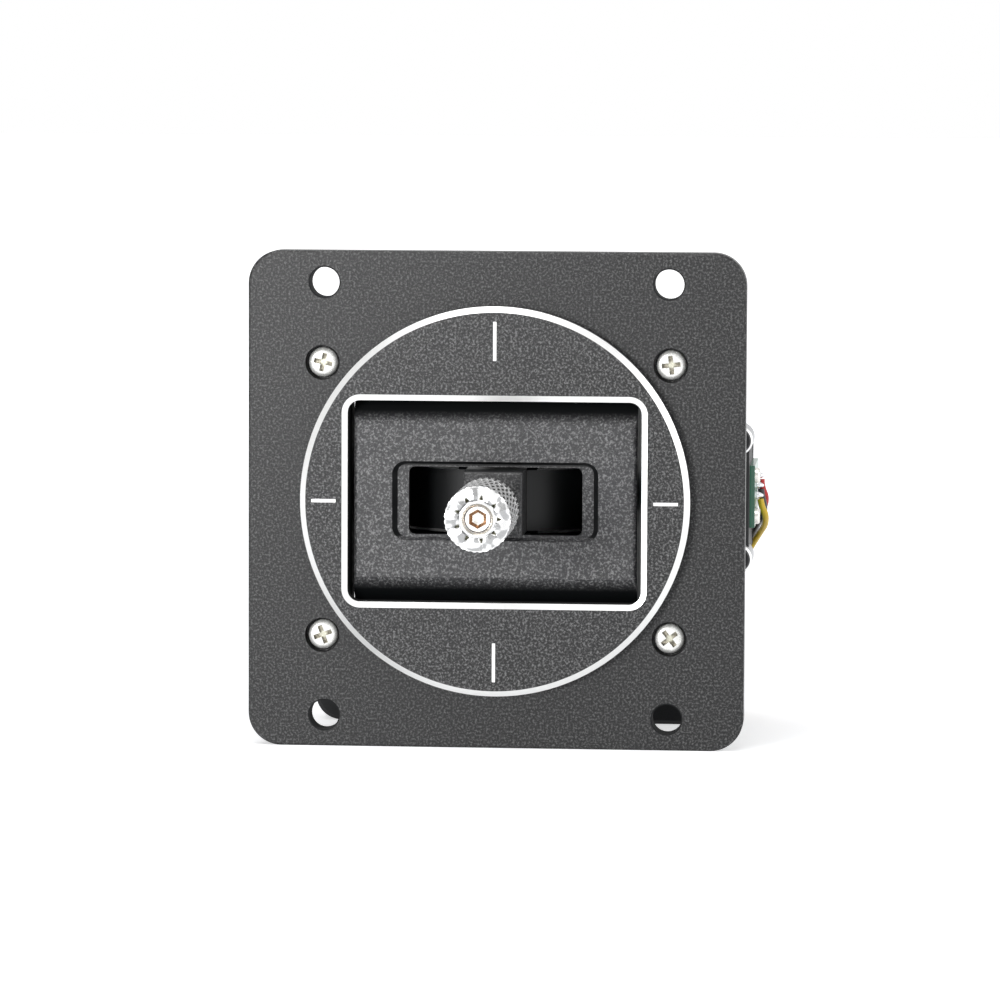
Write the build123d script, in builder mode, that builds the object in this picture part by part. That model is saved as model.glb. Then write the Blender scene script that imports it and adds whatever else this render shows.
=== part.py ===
"""Two-axis stick gimbal of a radio transmitter, as separate named pieces.

Millimetres. X runs to the right, Y away from the user, Z up. The origin is the centre
of the panel holes on the seat face of the face plate. Both axes cross at PIVOT_Y.
"""
import math
import os

from build123d import *

os.makedirs("parts", exist_ok=True)

# Face plate
PLATE_W = 60.0
PLATE_T = 3.0
PLATE_CORNER = 4.0
EDGE_BREAK = 0.3
DISC_R = 23.5
DISC_H = 2.4
DISC_CHAMFER = 0.72
WINDOW_W = 35.4
WINDOW_H = 24.3
WINDOW_CORNER = 1.5
BEVEL_W = 0.72
BEVEL_T = 0.22
TICK_W = 0.4
TICK_DEPTH = 0.15
TICK_TALL = 4.7
TICK_TALL_Z = 19.35
TICK_SHORT = 2.95
TICK_SHORT_X = 20.6

# Panel holes and plate screws
PANEL_DX = 41.5
PANEL_DZ = 52.4
PANEL_HOLE_R = 1.8
SCREW_DX = 42.0
SCREW_DZ = 33.0
SCREW_R = 0.9
SCREW_CLEAR = 0.2
SCREW_L = 7.0
HEAD_R = 1.8
HEAD_H = 1.3
HEAD_CLEAR = 0.3
CBORE_DEPTH = 2.0
SCREW_TURNS = (20.0, -12.0, 38.0, 6.0)
DOME_SHARE = 0.45
RECESS_LONG = 1.25
RECESS_WIDE = 0.3
RECESS_DEEP = 0.5

# Axes and clearances
PIVOT_Y = 16.5
RUN = 0.06
SLIDE_GAP = 0.1
SWEEP_GAP = 0.5

# Yoke
YOKE_W = 34.2
YOKE_FACE_Y = -1.0
YOKE_R = 19.8
YOKE_WALL = 2.0
YOKE_SIDE = 2.15
YOKE_EDGE = 0.6
TIE_TOP = 4.8
TIE_H = 4.2
TIE_T = 1.3
YOKE_BACK = 6.0
DECK_Z = 15.0
LIP_ANGLE = 62.0
LIP_ROOT = 40.0
RECESS_W = 24.9
RECESS_H = 9.55
RECESS_FLOOR_W = 23.65
RECESS_FLOOR_H = 8.8
RECESS_T = 0.8
RECESS_CORNER = 1.6
RECESS_FLOOR_CORNER = 1.1
SLOT_W = 20.95
SLOT_H = 8.2
SLOT_CORNER = 0.8

# Ball bearings, 4 mm bore
SHAFT_R = 2.0
SHAFT_FLANGE = 1.0
BEARING_R = 4.0
BEARING_T = 3.0
INNER_R = 2.48
RACE_R = 3.3
RACE_W = 1.8
BOSS_R = 5.3
BOSS_LIP = 0.4
BOSS_HOLE_R = 3.0

# Main frame
FRAME_W = 47.0
FLANGE_H = 46.0
FLANGE_T = 3.0
FLANGE_WALL = 2.2
FRAME_CORNER = 2.0
CHEEK_T = 3.0
CHEEK_TOP = 18.0
CHEEK_STEP = 12.0
SHOULDER_Z = 9.5
SHOULDER_Y = 24.0
REAR_Y = 31.0
BAR_D = 6.0
BAR_H = 7.0
LEG_TOP = -14.0
FOOT_W = 49.4
FOOT_H = 5.2
FOOT_CORNER = 3.2
FOOT_BREAK = 0.5
CHEEK_ROUND = 2.5
BOSS_SCREW_R = 2.5

# Stick
DRUM_R = 14.0
DRUM_WALL = 2.0
DRUM_TOP = 3.85
DRUM_LOW = 4.2
DRUM_ANGLE = 75.0
DRUM_CHAMFER = 0.35
WEB_T = 3.0
WEB_HOLE_R = 2.0
WEB_HOLE_AT = 8.2
HUB_R = 4.5
HUB_H = 8.0
NECK_R = 2.95
NECK_GAP = 0.4
BLOCK_W = 7.1
BLOCK_H = 7.7
BLOCK_FACE_Y = -4.8
BLOCK_CHAMFER = 0.3
ROD_R = 2.0
ROD_STEP_Y = -9.0
STUD_R = 1.5
STUD_TIP_Y = -24.9
STUD_CHAMFER = 0.35
SET_SCREW_R = 0.75
SET_SOCKET_R = 0.45
SET_SOCKET_T = 0.7

# Stick end
CROWN_R = 3.92
CROWN_FRONT_Y = -25.5
CROWN_L = 9.3
CROWN_RIM = 0.45
NOTCHES = 9
NOTCH_W = 0.85
NOTCH_FROM = 2.5
NOTCH_DEPTH = 0.75
DISH_R = 2.9
DISH_DEPTH = 0.6
COLLAR_R = 1.75
NUT_L = 3.2

# Centring levers and cams
CAM_T = 2.5
CAM_HUB_R = 3.4
CAM_GAP = 0.55
NECK_L = 0.8
TILT_CAM_REACH = 5.0
TILT_CAM_FLAT = 3.6
TILT_LEVER_H = 2.9
TILT_LEVER_T = 2.0
TILT_PIVOT_Y = 7.5
TILT_HOOK_Y = 28.5
TILT_PIN_X = -29.4
TILT_PIN_R = 0.6
PIVOT_BOSS_R = 2.2
PIVOT_SHOULDER_R = 1.2
SWING_CAM_REACH = 4.2
SWING_CAM_FLAT = 3.2
SWING_CAM_T = 1.8
SWING_CAM_LIFT = 0.4
SWING_LEVER_W = 2.4
SWING_LEVER_T = 1.6
SWING_PIVOT_X = -11.5
SWING_HOOK_X = 12.0
SWING_PIN_R = 0.5
SWING_PIN_TOP = 18.2
SWING_BOSS_R = 1.9
SWING_SHOULDER_R = 1.1
DECK_SCREW_R = 0.8
DECK_HEAD_R = 1.6
DECK_HEAD_H = 0.75

# Spring anchors
ANCHOR_T = 1.2
ANCHOR_W = 4.4
ANCHOR_PIN_Z = -12.0
ANCHOR_SLOT_Z = -18.0
ANCHOR_END = 2.4
ANCHOR_RIM = 1.3
ANCHOR_SLOT_L = 5.4
ANCHOR_SCREW_R = 1.0
ANCHOR_HEAD_R = 1.9
ANCHOR_HEAD_H = 1.2
SWING_ANCHOR_X = 8.8
SWING_ANCHOR_Y = -3.6
SWING_ANCHOR_W = 3.2
SWING_ANCHOR_L = 6.6
SWING_SLOT_L = 3.8
SWING_FOOT_W = 3.2
SWING_PIN_Y = -5.7

# Springs
TILT_COIL_R = 1.5
TILT_WIRE = 0.5
TILT_STEM = 1.75
TILT_COIL_X = -28.2
SWING_COIL_R = 1.1
SWING_WIRE = 0.4
SWING_STEM = 1.65
SWING_COIL_Z = 17.6
HOOK_CLEAR = 0.15

# Tilt sensor on the right cheek
BRACKET_Y0 = 7.0
BRACKET_Y1 = 22.0
BRACKET_H = 14.0
BRACKET_T = 6.7
BRACKET_CORNER = 1.2
BRACKET_CHAMFER = 0.35
BRACKET_BORE_R = 4.2
BRACKET_FLOOR = 1.6
POST_R = 1.8
POST_X = 28.9
POST_Z = 7.2
POST_Y0 = 5.0
POST_Y1 = 12.0
POST_CHAMFER = 0.4
FIX_Y = 19.6
FIX_Z = 5.3
FIX_R = 0.8
FIX_HEAD_R = 1.3
FIX_HEAD_H = 1.0
FIX_DEPTH = 1.4
BOARD_L = 12.0
BOARD_H = 7.6
BOARD_T = 0.8
BOARD_SINK = 0.2
BOARD_SCREW_Y = 11.6
BOARD_SCREW_Z = 2.5
BOARD_SCREW_R = 0.5
BOARD_HEAD_R = 0.95
BOARD_HEAD_H = 0.6
BOARD_SCREW_L = 2.2
CHIP_W = 4.0
CHIP_H = 3.0
CHIP_T = 1.0
CUP_R = 3.2
CUP_L = 3.1
MAGNET_R = 2.5
MAGNET_T = 1.5
SOLDER = 0.9
SOLDER_T = 0.85

# Swing sensor under the yoke
PIN_LOW = 0.4
SMALL_MAGNET_T = 1.0
SWING_CHIP_T = 0.9
SWING_BOARD_Z = -18.0
SWING_BOARD_W = 17.0
SWING_BOARD_D = 10.0
SWING_POST_X = 6.6
SWING_POST_R = 1.4
SWING_POST_HEAD = 0.6

# Sensor leads: red, black and yellow, and their plug behind the frame
LEAD_R = 0.4
LEAD_PITCH = 1.25
FLOOR_Z = -PLATE_W / 2
PLUG_X = 4.0
PLUG_Y = 68.5
PLUG_L = 6.5
PLUG_W = 5.2
PLUG_H = 3.4
PLUG_ROW = 1.6
CONTACT = 0.6
CONTACT_L = 3.0
BEND_SHARE = 0.45


def across(x, y=PIVOT_Y, z=0.0):
    """Plane square to X: its own x is Y, its own y is Z."""
    return Plane((x, y, z), x_dir=(0, 1, 0), z_dir=(1, 0, 0))


def upright(z, x=0.0, y=PIVOT_Y):
    """Plane square to Z: its own x is X, its own y is Y."""
    return Plane((x, y, z), x_dir=(1, 0, 0), z_dir=(0, 0, 1))


def facing(y, x=0.0, z=0.0):
    """Plane that looks at the user: its own x is X, its own y is Z."""
    return Plane((x, y, z), x_dir=(1, 0, 0), z_dir=(0, -1, 0))


def flipped(plane):
    """The same plane with its normal turned round."""
    return Plane(plane.origin, x_dir=plane.x_dir, z_dir=-plane.z_dir)


def turned(plane, steps, bores=()):
    """Round piece of steps (radius, start, end) along the plane's normal, less its bores."""
    with BuildPart() as piece:
        for radius, start, end in steps:
            with BuildSketch(plane.offset(start)):
                Circle(radius)
            extrude(amount=end - start)
        for radius, start, end in bores:
            with BuildSketch(plane.offset(start)):
                Circle(radius)
            extrude(amount=end - start, mode=Mode.SUBTRACT)
    return piece.part


def pan_screw(seat, head_r, head_h, steps, turn=0.0):
    """Pan-head screw on its seat plane, with shank steps (radius, depth) and a cross recess."""
    with BuildPart() as screw:
        with BuildSketch(seat):
            Circle(head_r)
        extrude(amount=head_h)
        top = screw.faces().sort_by(Axis(seat.origin, seat.z_dir))[-1]
        fillet(top.edges(), head_h * DOME_SHARE)
        depth = 0.0
        for radius, length in steps:
            with BuildSketch(seat.offset(-depth)):
                Circle(radius)
            extrude(amount=-length)
            depth += length
        with BuildSketch(seat.offset(head_h)):
            Rectangle(head_r * RECESS_LONG, head_r * RECESS_WIDE, rotation=turn)
            Rectangle(head_r * RECESS_WIDE, head_r * RECESS_LONG, rotation=turn)
        extrude(amount=-head_h * RECESS_DEEP, mode=Mode.SUBTRACT)
    return screw.part


def ring_hook(plane, pin_r, wire):
    """Closed hook of a spring round a pin."""
    with BuildPart() as hook:
        with Locations(plane):
            Torus(pin_r + HOOK_CLEAR + wire / 2, wire / 2)
    return hook.part


# Places that several pieces share
frame_half = FRAME_W / 2
cheek_in = frame_half - CHEEK_T
flange_back = PLATE_T + FLANGE_T
yoke_half = YOKE_W / 2
pocket_half = yoke_half - YOKE_SIDE
pocket_z = DECK_Z - YOKE_WALL
shield_r = INNER_R + RUN
screw_spots = [(x * SCREW_DX / 2, z * SCREW_DZ / 2) for x in (-1, 1) for z in (-1, 1)]
bracket_out = frame_half + BRACKET_T
board_in = bracket_out - BOARD_SINK
board_out = board_in + BOARD_T
board_y = BRACKET_Y1 - BOARD_L / 2
bearing_low = DECK_Z - BEARING_T

# Cam and lever planes of the tilt axis, on the left of the frame
cam_in = frame_half + NECK_L
cam_out = cam_in + CAM_T
tilt_lever_x = -(cam_in + CAM_T / 2)
tilt_lever_low = TILT_CAM_REACH + CAM_GAP
tilt_pivot_z = tilt_lever_low + TILT_LEVER_H / 2
pivot_boss = -tilt_lever_x - TILT_LEVER_T / 2 - frame_half - SLIDE_GAP
anchor_x = frame_half + SLIDE_GAP

# Cam and lever heights of the swing axis, on the upper deck
swing_cam_z = DECK_Z + SWING_CAM_LIFT
swing_lever_y = SWING_CAM_REACH + CAM_GAP + SWING_LEVER_W / 2
swing_lever_z = swing_cam_z + SLIDE_GAP
swing_anchor_z = DECK_Z + SLIDE_GAP

# Face plate
with BuildPart() as face_plate:
    with BuildSketch(facing(PLATE_T)):
        RectangleRounded(PLATE_W, PLATE_W, PLATE_CORNER)
    extrude(amount=PLATE_T)
    chamfer(face_plate.faces().sort_by(Axis.Y)[0].edges(), EDGE_BREAK)
    with BuildSketch(facing(0)):
        Circle(DISC_R)
    extrude(amount=DISC_H)
    chamfer(face_plate.faces().sort_by(Axis.Y)[0].edges(), DISC_CHAMFER)
    with BuildSketch(facing(PLATE_T)):
        RectangleRounded(WINDOW_W, WINDOW_H, WINDOW_CORNER)
    extrude(amount=PLATE_T + DISC_H, mode=Mode.SUBTRACT)
    with BuildSketch(facing(-DISC_H)):
        RectangleRounded(WINDOW_W + 2 * BEVEL_W, WINDOW_H + 2 * BEVEL_W, WINDOW_CORNER + BEVEL_W)
    with BuildSketch(facing(BEVEL_T - DISC_H)):
        RectangleRounded(WINDOW_W, WINDOW_H, WINDOW_CORNER)
    loft(mode=Mode.SUBTRACT)
    with BuildSketch(facing(-DISC_H)):
        with Locations((0, TICK_TALL_Z), (0, -TICK_TALL_Z)):
            Rectangle(TICK_W, TICK_TALL)
        with Locations((TICK_SHORT_X, 0), (-TICK_SHORT_X, 0)):
            Rectangle(TICK_SHORT, TICK_W)
    extrude(amount=-TICK_DEPTH, mode=Mode.SUBTRACT)
    # Relief for the yoke's sweep under the window's long edges
    with BuildSketch(across(-WINDOW_W / 2)):
        Circle(YOKE_R + SWEEP_GAP)
    extrude(amount=WINDOW_W, mode=Mode.SUBTRACT)
    with Locations(facing(0)):
        with GridLocations(SCREW_DX, SCREW_DZ, 2, 2):
            CounterBoreHole(SCREW_R + SCREW_CLEAR, HEAD_R + HEAD_CLEAR, CBORE_DEPTH, PLATE_T)
        with GridLocations(PANEL_DX, PANEL_DZ, 2, 2):
            Hole(PANEL_HOLE_R, PLATE_T)
face_plate.part.label = "face_plate"
export_step(face_plate.part, "parts/face_plate.step")

# Main frame: flange, two cheeks with rear legs, crossbar
with BuildPart() as main_frame:
    with BuildSketch(facing(flange_back)):
        RectangleRounded(FRAME_W, FLANGE_H, FRAME_CORNER)
        RectangleRounded(
            WINDOW_W + SLIDE_GAP, FLANGE_H - 2 * FLANGE_WALL, FRAME_CORNER, mode=Mode.SUBTRACT
        )
    extrude(amount=FLANGE_T)
    for cheek_x in (-frame_half, cheek_in):
        with BuildSketch(across(cheek_x, y=0)) as cheek:
            with BuildLine():
                Polyline(
                    (PLATE_T, CHEEK_TOP),
                    (CHEEK_STEP, CHEEK_TOP),
                    (SHOULDER_Y, SHOULDER_Z),
                    (REAR_Y, SHOULDER_Z),
                    (REAR_Y, LEG_TOP - BAR_H),
                    (REAR_Y - BAR_D, LEG_TOP - BAR_H),
                    (REAR_Y - BAR_D, LEG_TOP),
                    (CHEEK_STEP, -CHEEK_TOP),
                    (PLATE_T, -CHEEK_TOP),
                    close=True,
                )
            make_face()
            middle = [v for v in cheek.vertices() if PLATE_T < v.X and v.Y > LEG_TOP - BAR_H]
            fillet(middle, CHEEK_ROUND)
        extrude(amount=CHEEK_T)
    with BuildSketch(facing(REAR_Y)) as legs:
        with Locations((0, (LEG_TOP + FLOOR_Z) / 2)):
            Rectangle(FRAME_W, LEG_TOP - FLOOR_Z)
        with Locations((0, FLOOR_Z + FOOT_H / 2)):
            Rectangle(FOOT_W, FOOT_H)
        fillet(legs.vertices().group_by(Axis.Y)[0], FOOT_CORNER)
        with Locations((0, (LEG_TOP + FLOOR_Z + BAR_H) / 2)):
            Rectangle(2 * cheek_in, LEG_TOP - FLOOR_Z - BAR_H, mode=Mode.SUBTRACT)
    extrude(amount=BAR_D)
    foot = main_frame.faces().filter_by(Axis.Z).sort_by(Axis.Z)[0]
    chamfer(foot.edges().filter_by(Axis.X), FOOT_BREAK)
    for x, z in screw_spots:
        with BuildSketch(facing(PLATE_T + SCREW_L - CBORE_DEPTH + FLANGE_T, x=x, z=z)):
            Circle(BOSS_SCREW_R)
        extrude(amount=SCREW_L - CBORE_DEPTH)
    with BuildSketch(across(-frame_half - pivot_boss, y=TILT_PIVOT_Y, z=tilt_pivot_z)):
        Circle(PIVOT_BOSS_R)
    extrude(amount=pivot_boss)
    with BuildSketch(across(-frame_half)):
        Circle(BEARING_R)
    extrude(amount=FRAME_W, mode=Mode.SUBTRACT)
    for x, z in screw_spots:
        with BuildSketch(facing(PLATE_T + SCREW_L - CBORE_DEPTH + FLANGE_T, x=x, z=z)):
            Circle(SCREW_R)
        extrude(amount=SCREW_L - CBORE_DEPTH + FLANGE_T, mode=Mode.SUBTRACT)
    with BuildSketch(across(-frame_half - pivot_boss, y=TILT_PIVOT_Y, z=tilt_pivot_z)):
        Circle(DECK_SCREW_R)
    extrude(amount=pivot_boss + CHEEK_T, mode=Mode.SUBTRACT)
    with BuildSketch(across(-frame_half, y=TILT_HOOK_Y, z=ANCHOR_SLOT_Z)):
        Circle(DECK_SCREW_R)
    extrude(amount=CHEEK_T, mode=Mode.SUBTRACT)
    for z in (-FIX_Z, FIX_Z):
        with BuildSketch(across(cheek_in, y=FIX_Y, z=z)):
            Circle(FIX_R)
        extrude(amount=CHEEK_T, mode=Mode.SUBTRACT)
main_frame.part.label = "main_frame"
export_step(main_frame.part, "parts/main_frame.step")

# Plate screws, each left at its own angle
screws = [
    pan_screw(
        facing(CBORE_DEPTH, x=x, z=z), HEAD_R, HEAD_H,
        [(SCREW_R, SCREW_L)], turn=angle,
    )
    for (x, z), angle in zip(screw_spots, SCREW_TURNS)
]
with BuildPart() as plate_screws:
    for screw in screws:
        add(screw)
plate_screws.part.label = "plate_screws"
export_step(plate_screws.part, "parts/plate_screws.step")

# Tilt bearings: shielded outer rings in the cheeks
with BuildPart() as tilt_outer_rings:
    for low in (-frame_half, cheek_in):
        with BuildSketch(across(low)):
            Circle(BEARING_R)
            Circle(shield_r, mode=Mode.SUBTRACT)
        extrude(amount=BEARING_T)
        with BuildSketch(across(low + (BEARING_T - RACE_W) / 2)):
            Circle(RACE_R)
        extrude(amount=RACE_W, mode=Mode.SUBTRACT)
tilt_outer_rings.part.label = "tilt_outer_rings"
export_step(tilt_outer_rings.part, "parts/tilt_outer_rings.step")

with BuildPart() as tilt_inner_rings:
    for low in (-frame_half, cheek_in):
        with BuildSketch(across(low)):
            Circle(INNER_R)
            Circle(SHAFT_R, mode=Mode.SUBTRACT)
        extrude(amount=BEARING_T)
tilt_inner_rings.part.label = "tilt_inner_rings"
export_step(tilt_inner_rings.part, "parts/tilt_inner_rings.step")

# Yoke: drum about the tilt axis with a flat face, two decks and two side walls
with BuildPart() as yoke:
    with BuildSketch(across(-yoke_half)):
        Circle(YOKE_R)
        Rectangle(2 * YOKE_R, 2 * DECK_Z, mode=Mode.INTERSECT)
        with BuildLine():
            CenterArc((0, 0), YOKE_R, 180 - LIP_ANGLE, LIP_ANGLE - LIP_ROOT)
            CenterArc((0, 0), YOKE_R - YOKE_WALL, 180 - LIP_ANGLE, LIP_ANGLE - LIP_ROOT)
            for angle in (180 - LIP_ANGLE, 180 - LIP_ROOT):
                inner = Vector(YOKE_R - YOKE_WALL, 0).rotate(Axis.Z, angle)
                outer = Vector(YOKE_R, 0).rotate(Axis.Z, angle)
                Line(inner, outer)
        lip = make_face()
        mirror(lip, about=Plane.XZ)
        with Locations((-YOKE_R, 0)):
            Rectangle(2 * (YOKE_R - PIVOT_Y + YOKE_FACE_Y), 2 * YOKE_R, mode=Mode.SUBTRACT)
        with Locations((YOKE_R, 0)):
            Rectangle(2 * (YOKE_R - YOKE_BACK), 2 * YOKE_R, mode=Mode.SUBTRACT)
    extrude(amount=YOKE_W)
    fillet(yoke.edges().filter_by(Axis.Z).group_by(Axis.Y)[0], YOKE_EDGE)
    with BuildSketch(facing(PIVOT_Y + YOKE_BACK)):
        Rectangle(2 * pocket_half, 2 * pocket_z)
    extrude(amount=PIVOT_Y + YOKE_BACK - YOKE_FACE_Y - YOKE_WALL, mode=Mode.SUBTRACT)
    # Tie between the side walls, below the hub
    with BuildSketch(facing(PIVOT_Y + YOKE_BACK, z=-TIE_TOP - TIE_H / 2)):
        Rectangle(2 * pocket_half, TIE_H)
    extrude(amount=TIE_T)
    for deck in (upright(0), flipped(upright(0))):
        with BuildSketch(deck.offset(bearing_low - BOSS_LIP)):
            Circle(BOSS_R)
        extrude(amount=BEARING_T + BOSS_LIP)
        with BuildSketch(deck.offset(bearing_low)):
            Circle(BEARING_R)
        extrude(amount=BEARING_T, mode=Mode.SUBTRACT)
        with BuildSketch(deck.offset(bearing_low - BOSS_LIP)):
            Circle(BOSS_HOLE_R)
        extrude(amount=BOSS_LIP, mode=Mode.SUBTRACT)
    with BuildSketch(across(-yoke_half)):
        Circle(SHAFT_R)
    extrude(amount=YOKE_W, mode=Mode.SUBTRACT)
    with BuildSketch(facing(YOKE_FACE_Y)):
        RectangleRounded(RECESS_W, RECESS_H, RECESS_CORNER)
    with BuildSketch(facing(YOKE_FACE_Y + RECESS_T)):
        RectangleRounded(RECESS_FLOOR_W, RECESS_FLOOR_H, RECESS_FLOOR_CORNER)
    loft(mode=Mode.SUBTRACT)
    with BuildSketch(facing(YOKE_FACE_Y)):
        RectangleRounded(SLOT_W, SLOT_H, SLOT_CORNER)
    extrude(amount=-YOKE_WALL, mode=Mode.SUBTRACT)
    with BuildSketch(upright(DECK_Z)):
        with Locations((SWING_PIVOT_X, swing_lever_y)):
            Circle(SWING_BOSS_R)
    extrude(amount=SWING_CAM_LIFT)
    with BuildSketch(upright(DECK_Z + SWING_CAM_LIFT)):
        with Locations((SWING_PIVOT_X, swing_lever_y), (SWING_ANCHOR_X, SWING_ANCHOR_Y)):
            Circle(DECK_SCREW_R)
    extrude(amount=-YOKE_WALL - SWING_CAM_LIFT, mode=Mode.SUBTRACT)
    with BuildSketch(upright(-DECK_Z)):
        with Locations((-SWING_POST_X, 0), (SWING_POST_X, 0)):
            Circle(DECK_SCREW_R)
    extrude(amount=YOKE_WALL, mode=Mode.SUBTRACT)
yoke.part.label = "yoke"
export_step(yoke.part, "parts/yoke.step")

# Tilt shafts: pressed in the side walls, with a flange and a shoulder for the inner ring
tilt_shaft_left = turned(
    flipped(across(0)),
    [
        (SHAFT_R, pocket_half, yoke_half),
        (BEARING_R, yoke_half, yoke_half + SHAFT_FLANGE),
        (INNER_R, yoke_half + SHAFT_FLANGE, cheek_in),
        (SHAFT_R, cheek_in, cam_out),
    ],
)
tilt_shaft_left.label = "tilt_shaft_left"
export_step(tilt_shaft_left, "parts/tilt_shaft_left.step")

tilt_shaft_right = turned(
    across(0),
    [
        (SHAFT_R, pocket_half, yoke_half),
        (BEARING_R, yoke_half, yoke_half + SHAFT_FLANGE),
        (INNER_R, yoke_half + SHAFT_FLANGE, cheek_in),
        (SHAFT_R, cheek_in, cam_in + CUP_L - MAGNET_T),
    ],
)
tilt_shaft_right.label = "tilt_shaft_right"
export_step(tilt_shaft_right, "parts/tilt_shaft_right.step")

# Tilt cam: neck against the inner ring, head with a narrow flat under the lever
with BuildPart() as tilt_cam:
    with BuildSketch(across(-cam_in)):
        Circle(INNER_R)
    extrude(amount=NECK_L)
    with BuildSketch(across(-cam_out)):
        Circle(CAM_HUB_R)
        with Locations((0, TILT_CAM_REACH / 2)):
            Rectangle(TILT_CAM_FLAT, TILT_CAM_REACH)
    extrude(amount=CAM_T)
    with BuildSketch(across(-cam_out)):
        Circle(SHAFT_R)
    extrude(amount=CAM_T + NECK_L, mode=Mode.SUBTRACT)
tilt_cam.part.label = "tilt_cam"
export_step(tilt_cam.part, "parts/tilt_cam.step")

# Magnet and its cup on the right shaft
tilt_magnet_cup = turned(
    across(frame_half),
    [(INNER_R, 0, NECK_L), (CUP_R, NECK_L, NECK_L + CUP_L)],
    [(SHAFT_R, 0, NECK_L + CUP_L), (MAGNET_R, NECK_L + CUP_L - MAGNET_T, NECK_L + CUP_L)],
)
tilt_magnet_cup.label = "tilt_magnet_cup"
export_step(tilt_magnet_cup, "parts/tilt_magnet_cup.step")

tilt_magnet = turned(across(cam_in + CUP_L), [(MAGNET_R, -MAGNET_T, 0)])
tilt_magnet.label = "tilt_magnet"
export_step(tilt_magnet, "parts/tilt_magnet.step")

# Tilt lever: bar over the cam, pivot hole in front, hook pin behind
with BuildPart() as tilt_lever:
    with BuildSketch(across(tilt_lever_x - TILT_LEVER_T / 2, y=0, z=tilt_pivot_z)):
        with Locations(((TILT_PIVOT_Y + TILT_HOOK_Y) / 2, 0)):
            SlotCenterToCenter(TILT_HOOK_Y - TILT_PIVOT_Y, TILT_LEVER_H)
        with Locations((TILT_PIVOT_Y, 0)):
            Circle(PIVOT_SHOULDER_R + RUN, mode=Mode.SUBTRACT)
    extrude(amount=TILT_LEVER_T)
    with BuildSketch(across(TILT_PIN_X, y=TILT_HOOK_Y, z=tilt_pivot_z)):
        Circle(TILT_PIN_R)
    extrude(amount=tilt_lever_x - TILT_PIN_X)
tilt_lever.part.label = "tilt_lever"
export_step(tilt_lever.part, "parts/tilt_lever.step")

pivot_gap = -tilt_lever_x + TILT_LEVER_T / 2 + SLIDE_GAP - frame_half - pivot_boss
tilt_lever_screw = pan_screw(
    flipped(across(tilt_lever_x - TILT_LEVER_T / 2 - SLIDE_GAP, y=TILT_PIVOT_Y, z=tilt_pivot_z)),
    HEAD_R, HEAD_H,
    [(PIVOT_SHOULDER_R, pivot_gap), (DECK_SCREW_R, CHEEK_T + pivot_boss)],
)
tilt_lever_screw.label = "tilt_lever_screw"
export_step(tilt_lever_screw, "parts/tilt_lever_screw.step")

# Tilt anchor: slotted plate on the left cheek with the lower hook pin
anchor_low = ANCHOR_SLOT_Z - ANCHOR_SLOT_L / 2 - ANCHOR_RIM
anchor_high = ANCHOR_PIN_Z + ANCHOR_END
with BuildPart() as tilt_anchor:
    with BuildSketch(across(-anchor_x - ANCHOR_T, y=TILT_HOOK_Y, z=(anchor_low + anchor_high) / 2)):
        RectangleRounded(ANCHOR_W, anchor_high - anchor_low, ANCHOR_T)
        with Locations((0, ANCHOR_SLOT_Z - (anchor_low + anchor_high) / 2)):
            SlotOverall(ANCHOR_SLOT_L, 2 * (ANCHOR_SCREW_R + RUN), rotation=90, mode=Mode.SUBTRACT)
    extrude(amount=ANCHOR_T)
    with BuildSketch(across(TILT_PIN_X, y=TILT_HOOK_Y, z=ANCHOR_PIN_Z)):
        Circle(TILT_PIN_R)
    extrude(amount=-anchor_x - ANCHOR_T - TILT_PIN_X)
tilt_anchor.part.label = "tilt_anchor"
export_step(tilt_anchor.part, "parts/tilt_anchor.step")

tilt_anchor_screw = pan_screw(
    flipped(across(-anchor_x - ANCHOR_T - SLIDE_GAP, y=TILT_HOOK_Y, z=ANCHOR_SLOT_Z)),
    ANCHOR_HEAD_R, ANCHOR_HEAD_H,
    [(ANCHOR_SCREW_R, ANCHOR_T + 2 * SLIDE_GAP), (DECK_SCREW_R, CHEEK_T)],
)
tilt_anchor_screw.label = "tilt_anchor_screw"
export_step(tilt_anchor_screw, "parts/tilt_anchor_screw.step")

# Tilt spring from the lever's pin down to the anchor's pin
tilt_hooks = [
    ring_hook(across(TILT_COIL_X, y=TILT_HOOK_Y, z=z), TILT_PIN_R, TILT_WIRE)
    for z in (ANCHOR_PIN_Z, tilt_pivot_z)
]
tilt_ring = TILT_PIN_R + HOOK_CLEAR + TILT_WIRE / 2
with BuildPart() as tilt_spring:
    for hook in tilt_hooks:
        add(hook)
    with BuildSketch(upright(ANCHOR_PIN_Z + tilt_ring, x=TILT_COIL_X, y=TILT_HOOK_Y)):
        Circle(TILT_WIRE / 2)
    extrude(amount=tilt_pivot_z - ANCHOR_PIN_Z - 2 * tilt_ring)
    with BuildSketch(
        upright(ANCHOR_PIN_Z + tilt_ring + TILT_STEM, x=TILT_COIL_X, y=TILT_HOOK_Y)
    ):
        Circle(TILT_COIL_R)
    extrude(amount=tilt_pivot_z - ANCHOR_PIN_Z - 2 * (tilt_ring + TILT_STEM))
tilt_spring.part.label = "tilt_spring"
export_step(tilt_spring.part, "parts/tilt_spring.step")

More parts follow.
